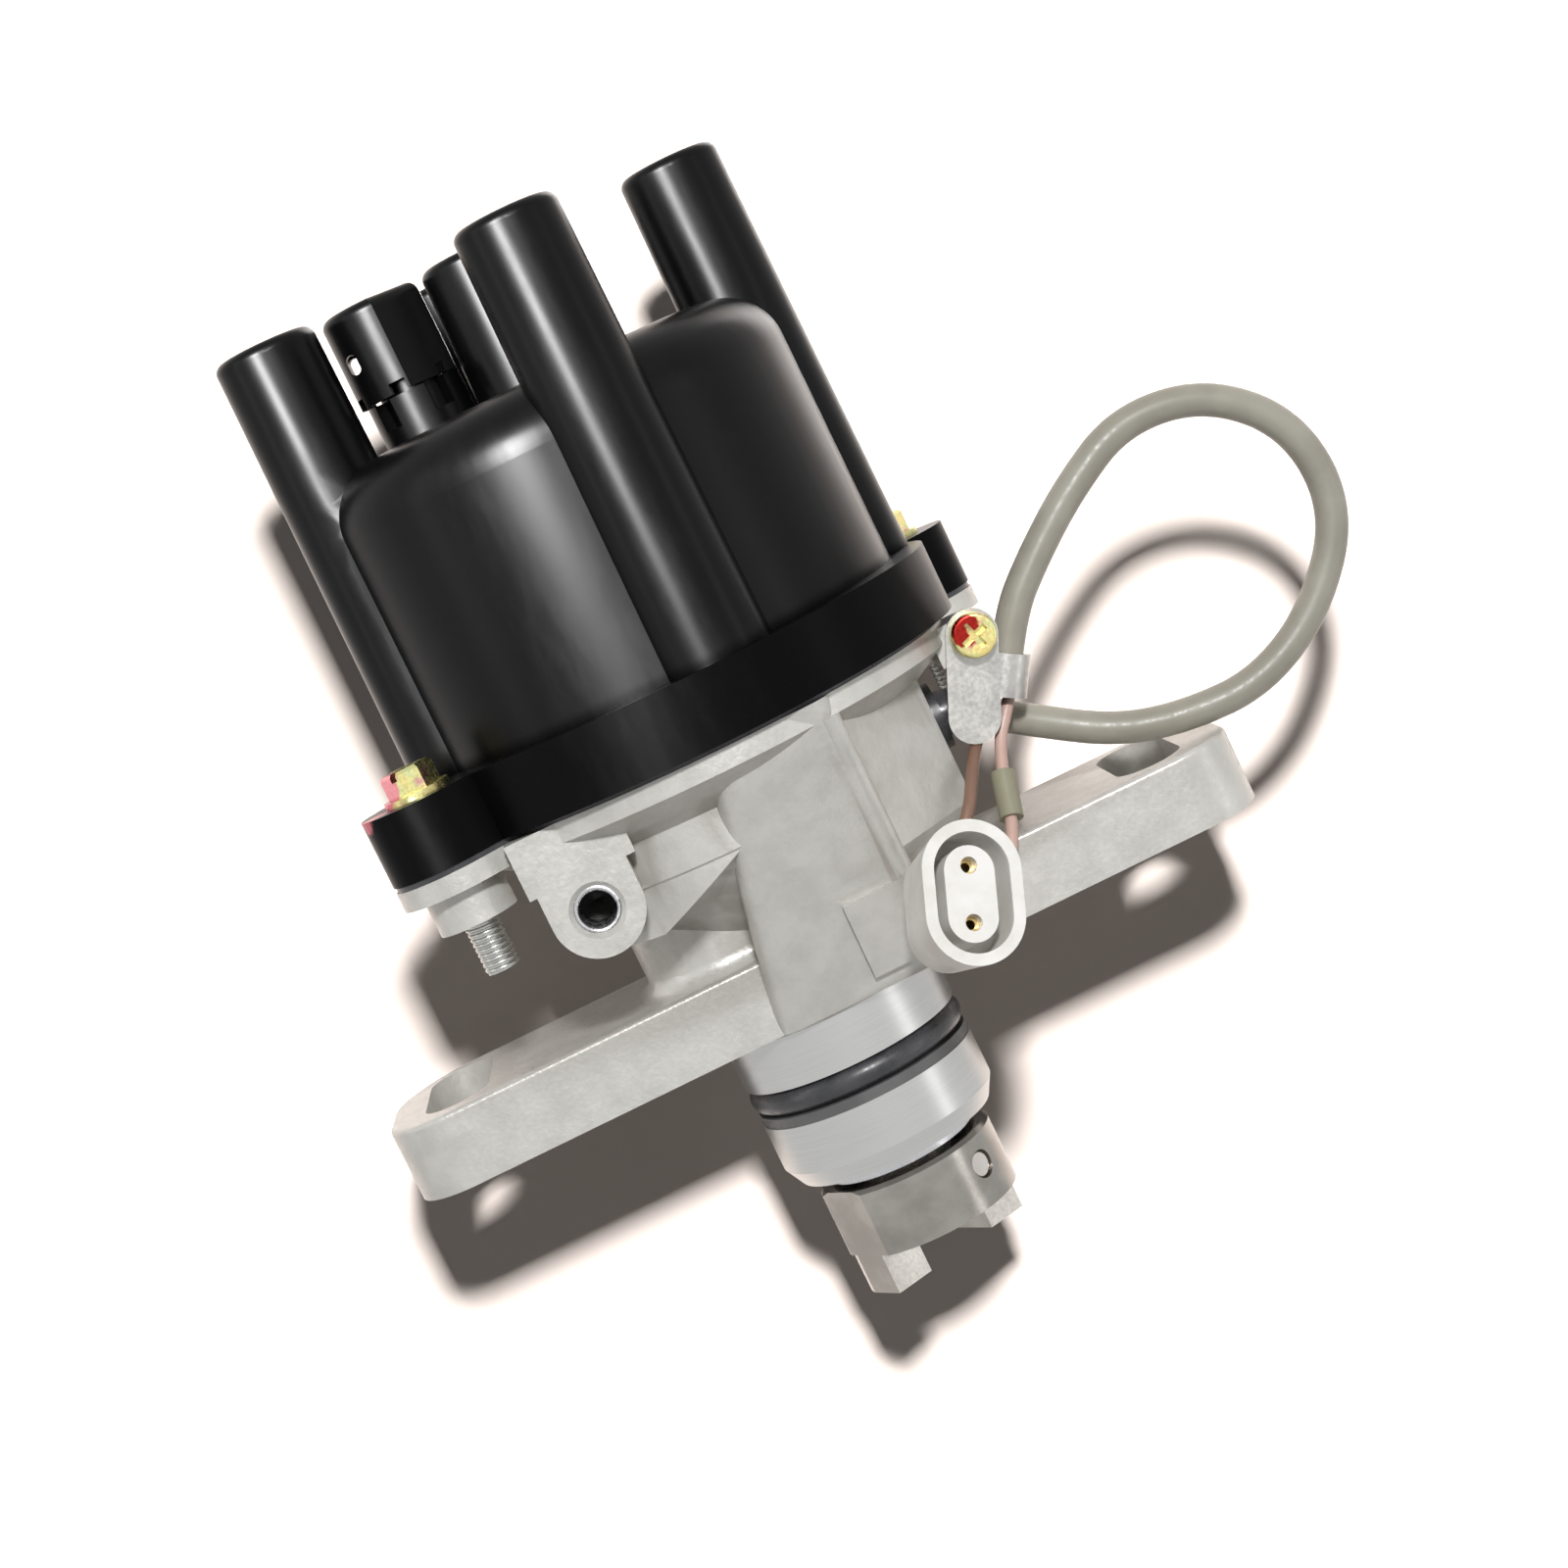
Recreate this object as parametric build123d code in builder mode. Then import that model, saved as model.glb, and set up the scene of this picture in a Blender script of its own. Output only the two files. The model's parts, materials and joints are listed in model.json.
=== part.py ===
"""Ignition distributor for a four-cylinder engine, driven from the end of a camshaft.

Millimetres. The origin is on the shaft axis at the ears' lower face, where the housing seats on the cylinder
head. +Z points to the cap, the ears lie along X, and the lead leaves on the +X side.
"""
import math
import os

from build123d import *

os.makedirs("parts", exist_ok=True)

# Clearances
running_clearance = 0.03
thread_clearance = 0.05
hole_clearance = 0.3
air_gap = 0.7
cut_spare = 1.0
root_depth = 1.0
small_edge = 0.5
corner_share = 0.45

# Spigot
spigot_radius = 17.5
spigot_length = 25.0
spigot_bevel = 1.6
spigot_bevel_height = 3.0
groove_start = 8.4
groove_width = 6.0
groove_depth = 4.2
o_ring_section = 4.4
o_ring_stand_out = 0.2
backup_ring_width = 1.6
backup_ring_inset = 0.2

# Ears and their slots
ear_thickness = 11.6
ear_width = 34.0
ear_left_reach = 67.5
ear_right_reach = 71.0
ear_front_corner = 9.5
ear_rear_corner = 14.0
ear_edge = 0.8
slot_width = 10.5
slot_length = 27.0
slot_left_inset = 11.3
slot_right_inset = 12.5

# Neck and bowl
neck_left = 23.4
neck_right = 29.0
neck_depth = 28.0
neck_corner = 12.0
neck_fillet = 2.4
neck_top_inset = 3.0
bowl_radius = 31.5
bowl_wall = 3.0
bowl_base_z = 30.0
bowl_cone_radius = 13.0
bowl_cone_z = 14.0
bowl_flare_z = 36.5
rim_stand_out = 8.5
rim_thickness = 3.0
rim_z = 44.5

# Front column with its rib and pad, side block and tapped lug
column_foot_left = -9.0
column_foot_right = 19.5
column_foot_front = -18.6
column_foot_depth = 16.0
column_top_left = -1.0
column_top_right = 18.5
column_top_front = -38.5
column_top_depth = 18.0
column_corner = 4.0
rib_radius = 1.6
rib_inset = 1.5
pad_left = 7.5
pad_base_z = 2.5
pad_top_z = 15.0
pad_stand_out = 1.2
pad_root = 10.0
block_front_x = 18.0
block_front_y = -27.0
block_top_front_x = 18.5
block_top_front_y = -33.0
block_stand_out = 0.5
block_side_y = -14.0
block_rear_y = 12.0
block_left_x = 4.0
block_left_y = -24.0
block_back_x = 22.0
block_back_y = 20.0
block_foot_depth = 13.0
block_foot_inset = 6.0
block_base_z = 6.0
block_full_z = 19.0
lug_x = -23.8
lug_z = 30.8
lug_end_radius = 6.9
lug_shoulder_left = 8.0
lug_shoulder_right = 8.4
lug_shoulder_z = 36.0
lug_face_y = -32.0
lug_back_y = -12.0
tapped_radius = 3.4
tapped_mouth = 0.7
tapped_depth = 10.0
tapped_point = 2.0
web_low_z = 22.6
web_high_z = 30.0
web_right_x = -2.0
web_inset = 0.4

# Cap screws and their lugs
screw_circle_x = 40.0
screw_circle_y = 23.0
cap_lug_radius = 9.0
boss_radius = 6.0
boss_depth = 5.5
screw_radius = 2.4
screw_tail = 8.0
screw_head_radius = 4.0
screw_head_height = 3.6
screw_washer_radius = 5.0
screw_washer_thickness = 0.9
screw_slot_width = 1.0
screw_slot_depth = 1.2
screw_slot_turn = 60.0

# Cap
seal_thickness = 0.8
seal_width = 5.8
cap_flange_radius = 42.5
cap_flange_height = 10.4
barrel_radius = 37.3
barrel_top_radius = 37.0
barrel_top_z = 101.5
barrel_corner = 9.0
cap_wall = 3.8
cap_roof = 4.0
tower_circle = 33.4
tower_turn = 11.5
tower_radius = 7.8
tower_foot_radius = 8.7
tower_top_z = 123.3
tower_lip = 1.6
tower_bore_radius = 4.6
tower_bore_depth = 18.0
tower_seat_height = 0.6
coil_tower_foot_radius = 8.4

# Terminals, brush and rotor
terminal_cup_radius = 4.0
terminal_cup_height = 7.4
terminal_cup_bore = 3.0
terminal_cup_wall = 1.0
terminal_rod_radius = 2.0
electrode_z = 71.0
electrode_height = 7.0
electrode_width = 5.0
electrode_reach = 29.6
brush_radius = 2.9
brush_bore_radius = 3.0
brush_boss_radius = 6.0
brush_boss_z = 83.0
brush_length = 12.0
brush_edge = 0.8
spring_radius = 2.3
spring_wire_radius = 0.3
spring_turns = 5
spring_height = 6.6
rotor_hub_radius = 9.0
rotor_arm_z = 69.5
rotor_arm_thickness = 5.0
rotor_arm_width = 13.0
rotor_arm_corner = 2.5
rotor_arm_reach = 26.5
rotor_tail_reach = 14.0
rotor_skirt_radius = 17.0
rotor_skirt_thickness = 2.4
contact_thickness = 1.2
contact_width = 6.0
contact_corner = 1.0

# Vent tower and hood
hood_x = -16.0
hood_radius = 8.2
hood_wall = 1.3
hood_base_z = 108.8
hood_top_z = 123.0
hood_edge = 1.6
hood_flat_offset = 6.4
hood_flat_turn = -49.5
hood_side_offset = 7.2
hood_notch_width = 2.6
hood_notch_height = 1.6
hood_notch_count = 6
hood_notch_turn = 20.0
hood_stem_radius = 4.9
hood_stem_bore = 3.4
hood_stem_length = 5.0
hood_web = 2.0
hood_window_width = 1.7
hood_window_height = 3.0
hood_window_z = 115.2
vent_radius = 7.3
vent_bore = 5.0
vent_slot_width = 3.4
vent_slot_depth = 4.2
vent_slot_count = 5
vent_slot_turn = -60.0

# Shaft and what turns with it
shaft_radius = 5.0
shaft_base_z = -37.6
shaft_step_z = 45.0
shaft_tip_radius = 4.0
shaft_tip_z = 66.0
shaft_flat = 3.0
bearing_z = 18.0
bearing_width = 8.0
bearing_outer_radius = 13.0
race_thickness = 2.5
race_clearance = 0.12
ball_radius = 2.3
ball_circle = 9.0
ball_count = 7
cage_thickness = 0.8
cage_width = 5.6
circlip_outer_radius = 7.2
circlip_thickness = 1.0
circlip_groove_depth = 0.7
circlip_gap = 0.1
retainer_radius = 18.0
retainer_bore = 10.4
retainer_thickness = 1.4
retainer_screw_radius = 1.5
retainer_screw_circle = 15.4
retainer_screw_turn = 65.0
retainer_thread_depth = 5.0
retainer_screw_length = 4.5
retainer_head_radius = 2.4
retainer_head_height = 1.2
reluctor_z = 34.0
reluctor_height = 7.0
reluctor_radius = 10.5
reluctor_tip_radius = 15.0
reluctor_tooth_width = 3.6
reluctor_hub_radius = 7.5
reluctor_hub_top_z = 43.0
teeth = 4
bush_outer_radius = 8.0
bush_top_z = -2.0
seal_outer_radius = 11.0
seal_height = 6.0
seal_recess = 7.0
seal_lip_base = 1.2
seal_lip_top = 2.4
seal_lip_thickness = 1.4
seal_lip_root = 2.2
seal_web = 1.5
seal_wall = 1.6
thrust_washer_radius = 12.0
thrust_washer_thickness = 1.6
coupling_radius = 14.2
coupling_top_z = -27.6
coupling_base_z = -38.5
coupling_lug_z = -45.0
coupling_hub_radius = 8.0
coupling_turn = 30.0
coupling_tang_width = 9.0
coupling_tang_offset = 1.2
coupling_slot_width = 13.0
coupling_lug_inset = 0.5
coupling_flat_offset = 13.2
coupling_edge = 0.6
pin_radius = 2.2
pin_z = -32.4
pin_turn = -45.0
pin_recess = 0.5
pin_edge = 0.4

# Pick-up inside the bowl
plate_gap = 0.9
plate_bore = 12.5
plate_thickness = 1.5
plate_z = 31.5
plate_screw_inset = 4.6
plate_screw_turn = 95.0
plate_pad_radius = 3.6
plate_screw_radius = 1.5
plate_screw_head_radius = 2.8
plate_screw_head_height = 1.8
plate_screw_reach = 1.5
plate_thread_depth = 2.0
plate_notch = 8.0
pickup_turn = 38.0
pole_width = 4.0
pole_height = 5.0
pole_inset = 2.0
coil_radius = 4.2
coil_start_share = 0.05
coil_share = 0.56
magnet_share = 0.16
magnet_root = 1.0
bobbin_half_width = 4.6
bobbin_corner = 1.2
bobbin_wall = 0.9
magnet_width = 8.0
cover_z = 43.2
cover_thickness = 1.2
cover_inset = 7.0
cover_bore = 10.8

# Lead, clip and grommet
lead_hole_y = -3.0
lead_hole_z = 31.0
lead_hole_radius = 4.0
sleeve_radius = 2.5
grommet_flange_radius = 5.2
grommet_flange_thickness = 1.8
grommet_nose_radius = 3.5
grommet_elbow_radius = 7.0
grommet_elbow_turn = 35.0
clip_screw_stand_out = 2.2
clip_screw_z = 40.9
clip_screw_radius = 2.0
clip_screw_length = 8.0
clip_hole_spare = 1.0
clip_head_radius = 3.4
clip_head_height = 3.0
clip_head_edge = 0.6
clip_cross_depth = 1.4
clip_cross_length = 4.2
clip_cross_width = 1.0
clip_cross_turn = 20.0
clip_boss_radius = 2.9
clip_boss_face_y = -12.9
clip_boss_back_y = -2.0
clip_thickness = 1.0
clip_width = 7.8
clip_foot_inset = 2.6
clip_foot_z = 29.6
clip_ring_length = 6.5
clip_ring_stand_out = 4.4
clip_ring_y = -10.4
clip_ring_z = 33.1
clip_ring_turn = 30.6
clip_ring_clearance = 0.1
wire_radius = 0.95
wire_pitch = 1.05
wire_straight = 4.2
sleeve_straight = 8.6
sleeve_run_out = 12.0
wire_run_out = 5.5
splice_offset = 4.2
splice_radius = 1.8
splice_length = 7.4

# Connector
face_x = 24.2
face_y = -47.0
face_z = 12.4
connector_width = 14.2
connector_height = 20.4
connector_depth = 15.0
connector_wall = 1.7
connector_mouth_depth = 8.5
connector_core_inset = 1.3
connector_taper = 5.0
core_width = 7.2
core_height = 13.6
cavity_pitch = 8.0
cavity_radius_front = 1.2
cavity_floor = 3.0
terminal_bore = 0.7
terminal_inset = 2.0
connector_long_axis = (0.359, 0.305, 0.8816)
connector_run = (-0.27, 0.94, -0.215)
collar_radius = 1.9
collar_length = 1.6

cap_base_z = rim_z + seal_thickness
cap_flange_top_z = cap_base_z + cap_flange_height
cavity_radius = bowl_radius - bowl_wall
block_side_x = bowl_radius + block_stand_out
rim_radius = bowl_radius + rim_stand_out
seal_inner_radius = rim_radius - seal_width
cover_radius = rim_radius - cover_inset
clip_screw_x = rim_radius + clip_screw_stand_out
clip_foot_x = rim_radius - clip_foot_inset
clip_ring_x = rim_radius + clip_ring_stand_out
plate_radius = cavity_radius - plate_gap
plate_screw_circle = plate_radius - plate_screw_inset
pole_start = reluctor_tip_radius + air_gap
pole_back = plate_radius - pole_inset
coil_start = pole_start + coil_start_share * (pole_back - pole_start)
coil_length = coil_share * (pole_back - pole_start)
magnet_length = magnet_root + magnet_share * (pole_back - pole_start)
screw_points = [(-screw_circle_x, -screw_circle_y), (screw_circle_x, screw_circle_y)]
screw_turn = math.degrees(math.atan2(screw_circle_y, screw_circle_x))
screw_span = 2 * math.hypot(screw_circle_x, screw_circle_y)
tower_angles = [tower_turn + 90 * number for number in range(teeth)]
tower_points = [
    (tower_circle * math.cos(math.radians(angle)), tower_circle * math.sin(math.radians(angle)))
    for angle in tower_angles
]
slot_points = [(slot_left_inset - ear_left_reach, 0), (ear_right_reach - slot_right_inset, 0)]
block_outline = [
    (block_left_x, block_left_y),
    (block_front_x, block_front_y),
    (block_side_x, block_side_y),
    (block_side_x, block_rear_y),
    (block_back_x, block_back_y),
    (0, block_back_y),
]
block_top_outline = [
    (block_left_x, block_left_y),
    (block_top_front_x, block_top_front_y),
    (block_side_x, block_side_y),
    (block_side_x, block_rear_y),
    (block_back_x, block_back_y),
    (0, block_back_y),
]
block_foot_outline = [
    (block_left_x, -block_foot_depth),
    (block_front_x - block_foot_inset / 2, -block_foot_depth),
    (block_side_x - block_foot_inset, -block_foot_depth + block_foot_inset / 2),
    (block_side_x - block_foot_inset, block_rear_y - block_foot_inset / 2),
    (block_back_x, block_foot_depth),
    (0, block_foot_depth),
]
socket_base_z = tower_top_z - tower_bore_depth - tower_seat_height - terminal_cup_height
contact_top_z = rotor_arm_z + rotor_arm_thickness + contact_thickness
bearing_top_z = bearing_z + bearing_width
spring_base_z = contact_top_z + brush_length + spring_wire_radius
spring_top_z = spring_base_z + spring_height + spring_wire_radius
pin_direction = (math.cos(math.radians(pin_turn)), math.sin(math.radians(pin_turn)), 0)


def finish(part, label):
    """Names a finished piece and writes it to its own file."""
    part.label = label
    export_step(part, f"parts/{label}.step")


def corner_radii(points):
    """The largest even radius at each corner of a cord's route."""
    radii = []
    for before, corner, after in zip(points, points[1:], points[2:]):
        run_in = Vector(*corner) - Vector(*before)
        run_out = Vector(*after) - Vector(*corner)
        half_turn = math.radians(run_in.get_angle(run_out)) / 2
        radii.append(corner_share * min(run_in.length, run_out.length) / math.tan(half_turn))
    return radii


def column_edge(height):
    """The column's right-hand side and its front at a height."""
    share = height / rim_z
    right = column_foot_right + share * (column_top_right - column_foot_right)
    front = column_foot_front + share * (column_top_front - column_foot_front)
    return right, front


# Arm web: the sloping underside that ties the tapped lug to the column
with BuildPart() as arm_web:
    with BuildSketch(Plane.XY.offset(web_low_z)):
        Circle(bowl_radius - web_inset)
        with Locations((web_right_x, 0)):
            Rectangle(2 * bowl_radius, 2 * bowl_radius, align=(Align.MIN, Align.CENTER), mode=Mode.SUBTRACT)
        with Locations((0, -bowl_radius / 2)):
            Rectangle(2 * bowl_radius, 2 * bowl_radius, align=(Align.CENTER, Align.MIN), mode=Mode.SUBTRACT)
        with Locations((lug_x, 0)):
            Rectangle(bowl_radius, 2 * bowl_radius, align=(Align.MAX, Align.CENTER), mode=Mode.SUBTRACT)
    extrude(amount=bowl_flare_z - web_low_z)
    with BuildSketch(Plane.XZ.offset(-bowl_radius)):
        with BuildLine():
            Polyline(
                (lug_x - cut_spare, web_low_z - cut_spare),
                (lug_x + lug_end_radius, web_low_z),
                (web_right_x + cut_spare, web_high_z),
                (web_right_x + cut_spare, web_low_z - cut_spare),
                close=True,
            )
        make_face()
    extrude(amount=2 * bowl_radius, mode=Mode.SUBTRACT)

# Housing casting
with BuildPart() as housing:
    # Ears
    with BuildSketch(Plane.XY):
        with Locations(((ear_right_reach - ear_left_reach) / 2, 0)):
            Rectangle(ear_left_reach + ear_right_reach, ear_width)
        fillet(vertices().group_by(Axis.Y)[0], ear_front_corner)
        fillet(vertices().group_by(Axis.Y)[-1], ear_rear_corner)
    extrude(amount=ear_thickness)
    fillet(housing.faces().sort_by(Axis.Z)[-1].edges(), ear_edge)
    # Neck, with its fillet onto the ears
    with BuildSketch(Plane.XY.offset(ear_thickness / 2)):
        with Locations(((neck_right - neck_left) / 2, 0)):
            RectangleRounded(neck_left + neck_right, neck_depth, neck_corner)
    extrude(amount=bowl_base_z - neck_top_inset - ear_thickness / 2)
    neck_edges = housing.edges().filter_by_position(
        Axis.Z,
        ear_thickness - running_clearance,
        ear_thickness + running_clearance,
    )
    neck_reach = neck_depth / 2 + hole_clearance
    fillet([edge for edge in neck_edges if abs(edge.center().Y) < neck_reach], neck_fillet)
    # Spigot, bowl and flared rim, turned
    with BuildSketch(Plane.XZ):
        with BuildLine():
            Polyline(
                (0, -spigot_length),
                (spigot_radius - spigot_bevel, -spigot_length),
                (spigot_radius, -spigot_length + spigot_bevel_height),
                (spigot_radius, 0),
                (bowl_cone_radius, 0),
                (bowl_cone_radius, bowl_cone_z),
                (bowl_radius, bowl_base_z),
                (bowl_radius, bowl_flare_z),
                (rim_radius, rim_z - rim_thickness),
                (rim_radius, rim_z),
                (0, rim_z),
                close=True,
            )
        make_face()
    revolve(axis=Axis.Z)
    # Cap-screw lugs on the rim, with a boss under each
    with BuildSketch(Plane.XY.offset(rim_z - rim_thickness)):
        SlotCenterToCenter(screw_span, 2 * cap_lug_radius, rotation=screw_turn)
    extrude(amount=rim_thickness)
    with BuildSketch(Plane.XY.offset(rim_z - rim_thickness - boss_depth)):
        with Locations(*screw_points):
            Circle(boss_radius)
    extrude(amount=boss_depth)
    # Front column, leaning out from the ears to the rim
    with BuildSketch(Plane.XY):
        with Locations((
            (column_foot_left + column_foot_right) / 2,
            column_foot_front + column_foot_depth / 2,
        )):
            RectangleRounded(column_foot_right - column_foot_left, column_foot_depth, column_corner)
    with BuildSketch(Plane.XY.offset(rim_z)):
        with Locations(((column_top_left + column_top_right) / 2, column_top_front + column_top_depth / 2)):
            RectangleRounded(column_top_right - column_top_left, column_top_depth, column_corner)
    loft()
    # Rib down the column's right-hand edge
    for height in (pad_top_z - root_depth, rim_z - rim_thickness):
        right, front = column_edge(height)
        with BuildSketch(Plane.XY.offset(height)):
            with Locations((right - rib_inset, front + rib_inset)):
                Circle(rib_radius)
    loft()
    # Pad at the column's foot
    with BuildSketch(Plane.YZ.offset(pad_left)):
        Polygon(
            (column_edge(pad_base_z)[1] + pad_root, pad_base_z),
            (column_edge(pad_base_z)[1] - pad_stand_out, pad_base_z),
            (column_edge(pad_top_z)[1] - pad_stand_out, pad_top_z),
            (column_edge(pad_base_z)[1] + pad_root, pad_top_z),
            align=None,
        )
    extrude(amount=column_edge(pad_top_z)[0] - pad_left)
    # Side block that carries the lead's outlet
    with BuildSketch(Plane.XY.offset(block_base_z)):
        Polygon(*block_foot_outline, align=None)
    with BuildSketch(Plane.XY.offset(block_full_z)):
        Polygon(*block_outline, align=None)
    loft(ruled=True)
    with BuildSketch(Plane.XY.offset(block_full_z)):
        Polygon(*block_outline, align=None)
    with BuildSketch(Plane.XY.offset(rim_z - rim_thickness)):
        Polygon(*block_top_outline, align=None)
    loft(ruled=True)
    # Tapped lug and its arm
    with BuildSketch(Plane.XZ.offset(-lug_back_y)):
        with Locations((lug_x, lug_z)):
            Circle(lug_end_radius)
            Rectangle(2 * lug_end_radius, rim_z - lug_z, align=(Align.CENTER, Align.MIN))
        with Locations((lug_x - lug_shoulder_left, lug_shoulder_z)):
            Rectangle(
                lug_shoulder_left + lug_shoulder_right,
                rim_z - lug_shoulder_z,
                align=(Align.MIN, Align.MIN),
            )
    extrude(amount=lug_back_y - lug_face_y)
    add(arm_web.part)
    # Boss for the lead clip's screw
    with BuildSketch(Plane.XZ.offset(-clip_boss_back_y)):
        with Locations((clip_screw_x, clip_screw_z)):
            Circle(clip_boss_radius)
            Rectangle(2 * clip_boss_radius, 2 * clip_boss_radius, align=(Align.MAX, Align.CENTER))
    extrude(amount=clip_boss_back_y - clip_boss_face_y)
    # Bowl cavity, bearing seat, bush and oil-seal bores
    with BuildSketch(Plane.XZ):
        with BuildLine():
            Polyline(
                (0, -spigot_length - cut_spare),
                (seal_outer_radius, -spigot_length - cut_spare),
                (seal_outer_radius, -spigot_length + seal_recess),
                (bush_outer_radius, -spigot_length + seal_recess),
                (bush_outer_radius, bush_top_z),
                (bearing_outer_radius - race_thickness, bush_top_z),
                (bearing_outer_radius - race_thickness, bearing_z),
                (bearing_outer_radius, bearing_z),
                (bearing_outer_radius, bearing_top_z),
                (retainer_radius + hole_clearance, bearing_top_z),
                (retainer_radius + hole_clearance, bowl_base_z),
                (cavity_radius, bowl_base_z),
                (cavity_radius, cover_z),
                (cover_radius + hole_clearance, cover_z),
                (cover_radius + hole_clearance, rim_z + cut_spare),
                (0, rim_z + cut_spare),
                close=True,
            )
        make_face()
    revolve(axis=Axis.Z, mode=Mode.SUBTRACT)
    # O-ring groove
    with BuildSketch(Plane.XZ):
        with Locations((spigot_radius - groove_depth, -groove_start - groove_width)):
            Rectangle(groove_depth + cut_spare, groove_width, align=(Align.MIN, Align.MIN))
    revolve(axis=Axis.Z, mode=Mode.SUBTRACT)
    # Pads for the pick-up plate
    with BuildSketch(Plane.XY.offset(bowl_base_z - root_depth)):
        with PolarLocations(plate_screw_circle, 3, start_angle=plate_screw_turn):
            Circle(plate_pad_radius)
    extrude(amount=plate_z - bowl_base_z + root_depth)
    with BuildSketch(Plane.XY.offset(bowl_base_z - plate_thread_depth)):
        with PolarLocations(plate_screw_circle, 3, start_angle=plate_screw_turn):
            Circle(plate_screw_radius + thread_clearance)
    extrude(amount=plate_z - bowl_base_z + plate_thread_depth + cut_spare, mode=Mode.SUBTRACT)
    # Threads for the bearing retainer's screws
    with BuildSketch(Plane.XY.offset(bearing_top_z - retainer_thread_depth)):
        with PolarLocations(retainer_screw_circle, 2, start_angle=retainer_screw_turn):
            Circle(retainer_screw_radius + thread_clearance)
    extrude(amount=retainer_thread_depth + cut_spare, mode=Mode.SUBTRACT)
    # Slots in the ears
    with BuildSketch(Plane.XY.offset(-cut_spare)):
        with Locations(*slot_points):
            SlotOverall(slot_length, slot_width, rotation=90)
    extrude(amount=ear_thickness + 2 * cut_spare, mode=Mode.SUBTRACT)
    # Cap-screw holes
    with BuildSketch(Plane.XY.offset(rim_z - rim_thickness - boss_depth - cut_spare)):
        with Locations(*screw_points):
            Circle(screw_radius + thread_clearance)
    extrude(amount=rim_thickness + boss_depth + 2 * cut_spare, mode=Mode.SUBTRACT)
    # Tapped hole in the lug, with a countersunk mouth and a drill point
    with BuildSketch(Plane.XZ.offset(-lug_face_y)):
        with Locations((lug_x, lug_z)):
            Circle(tapped_radius)
    extrude(amount=-tapped_depth, mode=Mode.SUBTRACT)
    with Locations((lug_x, lug_face_y + tapped_depth, lug_z)):
        Cone(
            tapped_radius,
            0,
            tapped_point,
            rotation=(-90, 0, 0),
            align=(Align.CENTER, Align.CENTER, Align.MIN),
            mode=Mode.SUBTRACT,
        )
    mouth_edges = housing.edges().filter_by_position(
        Axis.Y,
        lug_face_y - hole_clearance,
        lug_face_y + hole_clearance,
    )
    mouth_edges = mouth_edges.filter_by(GeomType.CIRCLE)
    chamfer([edge for edge in mouth_edges if edge.radius < tapped_radius + hole_clearance], tapped_mouth)
    # Hole for the clip screw
    with BuildSketch(Plane.XZ.offset(-clip_boss_face_y)):
        with Locations((clip_screw_x, clip_screw_z)):
            Circle(clip_screw_radius + thread_clearance)
    extrude(amount=-clip_screw_length - clip_hole_spare, mode=Mode.SUBTRACT)
    # Outlet of the lead
    with BuildSketch(Plane.YZ.offset(cavity_radius - bowl_wall)):
        with Locations((lead_hole_y, lead_hole_z)):
            Circle(lead_hole_radius)
    extrude(amount=block_side_x - cavity_radius + bowl_wall + cut_spare, mode=Mode.SUBTRACT)
finish(housing.part, "housing")

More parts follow.
